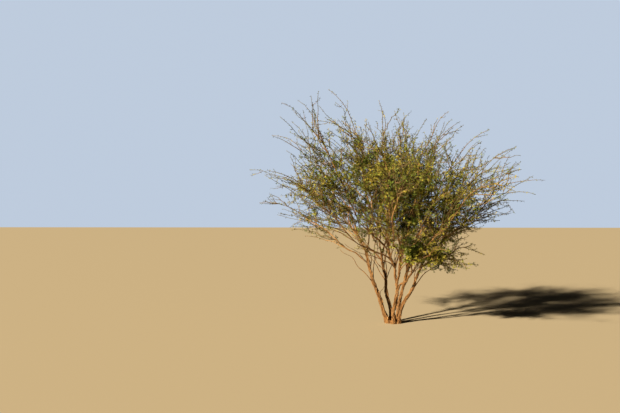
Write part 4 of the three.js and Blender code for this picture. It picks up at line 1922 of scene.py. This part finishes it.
def thorn_spikes(
    foot: np.ndarray, heading: np.ndarray, radius: float, length: np.ndarray
) -> tuple[np.ndarray, np.ndarray]:
    """The faces of many thorns at once, each a slim closed spike with three sides.

    Args:
        foot: where each one starts, inside its twig.
        heading: which way each one points.
        radius: at its foot.
        length: of each one.

    Returns:
        The corners, and four of them for each face, of which the last two are the same.
    """
    across, aside = side_axes(heading)
    corners = [foot + heading * length[:, None]]
    sides = 3
    for number in range(sides):
        angle = number * FULL_TURN / sides
        corners.append(foot + (across * math.cos(angle) + aside * math.sin(angle)) * radius)
    faces = np.array([(0, 1, 2, 2), (0, 2, 3, 3), (0, 3, 1, 1), (1, 3, 2, 2)])
    return np.stack(corners, axis=1).reshape(-1, 3), copied(faces, len(foot), len(corners))


def tube(paths: np.ndarray, radii: tuple[float, float], sides: int) -> tuple[np.ndarray, np.ndarray]:
    """The faces of many twigs at once, each closed at both ends.

    Args:
        paths: twigs by points by coordinates.
        radii: at the foot and at the tip.
        sides: corners round each twig.

    Returns:
        The corners, and four of them for each face; a triangle has its last corner twice.
    """
    count, rings = paths.shape[:2]
    ahead = unit(np.gradient(paths, axis=1))
    across = np.empty_like(paths)
    across[:, 0] = side_axes(ahead[:, 0])[0]
    for i in range(1, rings):
        carried = across[:, i - 1]
        carried = carried - ahead[:, i] * (carried * ahead[:, i]).sum(1, keepdims=True)
        across[:, i] = unit(carried)
    aside = np.cross(ahead, across)
    angle = np.arange(sides) * FULL_TURN / sides
    radius = np.linspace(radii[0], radii[1], rings)[None, :, None, None]
    ring = across[:, :, None] * np.cos(angle)[:, None] + aside[:, :, None] * np.sin(angle)[:, None]
    corners = paths[:, :, None] + ring * radius
    index = np.arange(count * rings * sides).reshape(count, rings, sides)
    following = np.roll(index, -1, axis=2)
    walls = np.stack([index[:, :-1], following[:, :-1], following[:, 1:], index[:, 1:]], axis=-1)
    ends = []
    for i in range(1, sides - 1):
        ends.append(index[:, 0, [i + 1, i, 0, 0]])
        ends.append(index[:, -1, [0, i, i + 1, i + 1]])
    return corners.reshape(-1, 3), np.vstack([walls.reshape(-1, 4), *ends])


def joined(
    name: str, points: np.ndarray, quads: np.ndarray, slots: np.ndarray,
    materials: Sequence[bpy.types.Material],
) -> bpy.types.Object:
    """A mesh object from arrays.

    Args:
        name: the piece's name.
        points: its corners.
        quads: four corners a face; a triangle has its last corner twice.
        slots: each face's material.
        materials: the materials.

    Returns:
        The object, at the origin.
    """
    triangle = quads[:, 2] == quads[:, 3]
    sizes = np.where(triangle, 3, 4)
    keep = np.ones(quads.shape, bool)
    keep[triangle, 3] = False
    mesh = bpy.data.meshes.new(name)
    mesh.vertices.add(len(points))
    mesh.vertices.foreach_set("co", points.astype(np.float32).ravel())
    mesh.loops.add(int(sizes.sum()))
    mesh.loops.foreach_set("vertex_index", quads[keep].astype(np.int32))
    mesh.polygons.add(len(quads))
    mesh.polygons.foreach_set("loop_start", (np.cumsum(sizes) - sizes).astype(np.int32))
    mesh.polygons.foreach_set("material_index", slots.astype(np.int32))
    for material in materials:
        mesh.materials.append(material)
    mesh.update(calc_edges=True)
    mesh.validate()
    piece = bpy.data.objects.new(name, mesh)
    bpy.context.scene.collection.objects.link(piece)
    return piece


@dataclass
class Timber:
    """Every barked limb, and the root crown that they rise from."""

    skeleton: Skeleton
    stem_mesh: tuple[int, float] = (20, 1.0)
    leader_mesh: tuple[int, float] = (16, 1.5)
    bough_mesh: tuple[int, float] = (8, 2.2)
    side_mesh: tuple[int, float] = (6, 3.2)
    stem_first: float = 0.06

    def build(self, bark: bpy.types.Material, dead: bpy.types.Material) -> None:
        """Model and dress the root crown, stems, leaders, spurs and boughs.

        Args:
            bark: the living limbs' material.
            dead: the dead spurs' material.
        """
        relief = BarkRelief()
        self.dress(RootCrown(self.skeleton).build(relief), "root_crown", bark)
        meshes = {plan.name: self.stem_mesh for plan in self.skeleton.stems}
        meshes |= {plan.name: self.leader_mesh for plan in self.skeleton.leaders}
        for name, limb in self.skeleton.limbs.items():
            usual = self.side_mesh if name.startswith("side") else self.bough_mesh
            mesh = meshes.get(name, usual)
            first = self.stem_first if name.endswith("stem") else 0.0
            piece = BarkedLimb(limb, *mesh, first).build(relief)
            if name.startswith("dead"):
                self.dress(piece, name, dead)
            else:
                self.dress(piece, name, bark)
        relief.clear_away()

    def dress(self, piece: bpy.types.Object, node: str, material: bpy.types.Material) -> None:
        """Give a barked piece its material, and let it stand for its node if there is one.

        Args:
            piece: the mesh object.
            node: the name of the solid that it may replace.
            material: its bark.
        """
        piece.data.materials.clear()
        piece.data.materials.append(material)
        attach(piece, BODY)
        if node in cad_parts:
            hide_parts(node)
        log.info("%s: %d faces", piece.name, len(piece.data.polygons))


@dataclass
class Studio:
    """A pale floor, soft low light, and the camera at the photograph's viewing angle."""

    camera_place: tuple[float, float, float] = (0.0, -8.0605, 1.6)
    pitch: float = 2.197
    yaw: float = 9.685
    lens: float = 28.0
    sensor: float = 36.0
    furthest_sight: float = 1000.0
    floor_size: float = 600.0
    floor_colour: tuple[float, float, float] = (0.34, 0.31, 0.26)
    floor_roughness: float = 0.9
    sky_colour: tuple[float, float, float] = (0.66, 0.77, 0.93)
    sky_strength: float = 0.78
    fill_colour: tuple[float, float, float] = (1.0, 0.9, 0.7)
    fill_strength: float = 0.02
    key_colour: tuple[float, float, float] = (1.0, 0.79, 0.48)
    key_strength: float = 12.5
    key_azimuth: float = 224
    key_elevation: float = 26
    key_softness: float = 2.5

    def build(self) -> None:
        """Set up the studio."""
        self.floor()
        self.sky()
        self.key_light()
        self.camera()
        bpy.context.scene.view_settings.view_transform = "Standard"

    def floor(self) -> None:
        """A wide plain floor at the ground's level."""
        Hand.clear()
        bpy.ops.mesh.primitive_plane_add(size=self.floor_size, location=(0, 0, 0))
        floor = bpy.context.object
        floor.name = "studio_floor"
        finish = PlainFinish("studio_floor", self.floor_colour, self.floor_roughness)
        floor.data.materials.append(finish.material())

    def sky(self) -> None:
        """A pale background, and a dimmer even light that fills the shade."""
        world = bpy.data.worlds.new("studio")
        world.use_nodes = True
        graph = Graph(world.node_tree)
        backdrop = graph.first("BACKGROUND")
        graph.feed(backdrop.inputs["Color"], (*self.sky_colour, 1.0))
        graph.feed(backdrop.inputs["Strength"], self.sky_strength)
        inputs = {"Color": (*self.fill_colour, 1.0), "Strength": self.fill_strength}
        fill = graph.node("ShaderNodeBackground", {}, inputs)
        seen = graph.node("ShaderNodeLightPath", {}, {}).outputs["Is Camera Ray"]
        shaders = {0: seen, 1: fill.outputs[0], 2: backdrop.outputs[0]}
        choice = graph.node("ShaderNodeMixShader", {}, shaders)
        graph.feed(graph.first("OUTPUT_WORLD").inputs["Surface"], choice.outputs[0])
        bpy.context.scene.world = world

    def key_light(self) -> None:
        """A warm, low light from the left and the camera's side."""
        light = bpy.data.lights.new("key", "SUN")
        light.energy = self.key_strength
        light.color = self.key_colour
        light.angle = math.radians(self.key_softness)
        lamp = bpy.data.objects.new("key", light)
        tilt = math.radians(90 - self.key_elevation)
        lamp.rotation_euler = (tilt, 0, math.radians(self.key_azimuth + 90))
        bpy.context.scene.collection.objects.link(lamp)

    def camera(self) -> None:
        """The camera, at eye height."""
        data = bpy.data.cameras.new("camera")
        data.lens = self.lens
        data.sensor_width = self.sensor
        data.clip_end = self.furthest_sight
        camera = bpy.data.objects.new("camera", data)
        camera.location = self.camera_place
        camera.rotation_euler = (math.radians(90 + self.pitch), 0, math.radians(self.yaw))
        bpy.context.scene.collection.objects.link(camera)
        bpy.context.scene.camera = camera


BARK = BarkFinish("bark")
# Its hollow and crack colours are painted shade, as for the living bark
DEAD_WOOD = BarkFinish(
    "dead_wood", ridge=(0.22, 0.18, 0.14), hollow=(0.1, 0.078, 0.06), crack_shade=(0.03, 0.024, 0.02),
    fibre=(0.3, 0.26, 0.21), patch=(0.26, 0.23, 0.2))
TWIG_WOOD = (
    PlainFinish("twig_bark", (0.33, 0.19, 0.085), 0.85),
    PlainFinish("shoot_bark", (0.17, 0.112, 0.056), 0.85),
    PlainFinish("fine_twig_bark", (0.09, 0.08, 0.038), 0.8),
    PlainFinish("thorn", (0.2, 0.17, 0.12), 0.6),
)
LEAF_TONES = (
    PlainFinish("leaf_dark", (0.028, 0.046, 0.011), 0.7),
    PlainFinish("leaf_grey_green", (0.076, 0.116, 0.036), 0.7),
    PlainFinish("leaf_fresh", (0.118, 0.172, 0.023), 0.7),
    PlainFinish("leaf_olive", (0.165, 0.188, 0.028), 0.7),
    PlainFinish("leaf_yellow_green", (0.22, 0.225, 0.028), 0.7),
    PlainFinish("leaf_gold", (0.275, 0.245, 0.036), 0.7),
)


def main() -> None:
    """Build the tree and its studio, and report each piece."""
    logging.basicConfig(level=logging.INFO, format="%(name)s: %(message)s")
    Studio().build()
    skeleton = Skeleton()
    skeleton.grow()
    Timber(skeleton).build(BARK.material(), DEAD_WOOD.material())
    wood = [finish.material() for finish in TWIG_WOOD]
    leaves = [finish.material() for finish in LEAF_TONES]
    Foliage(skeleton).build(wood, leaves)


if __name__ == "__main__":
    main()
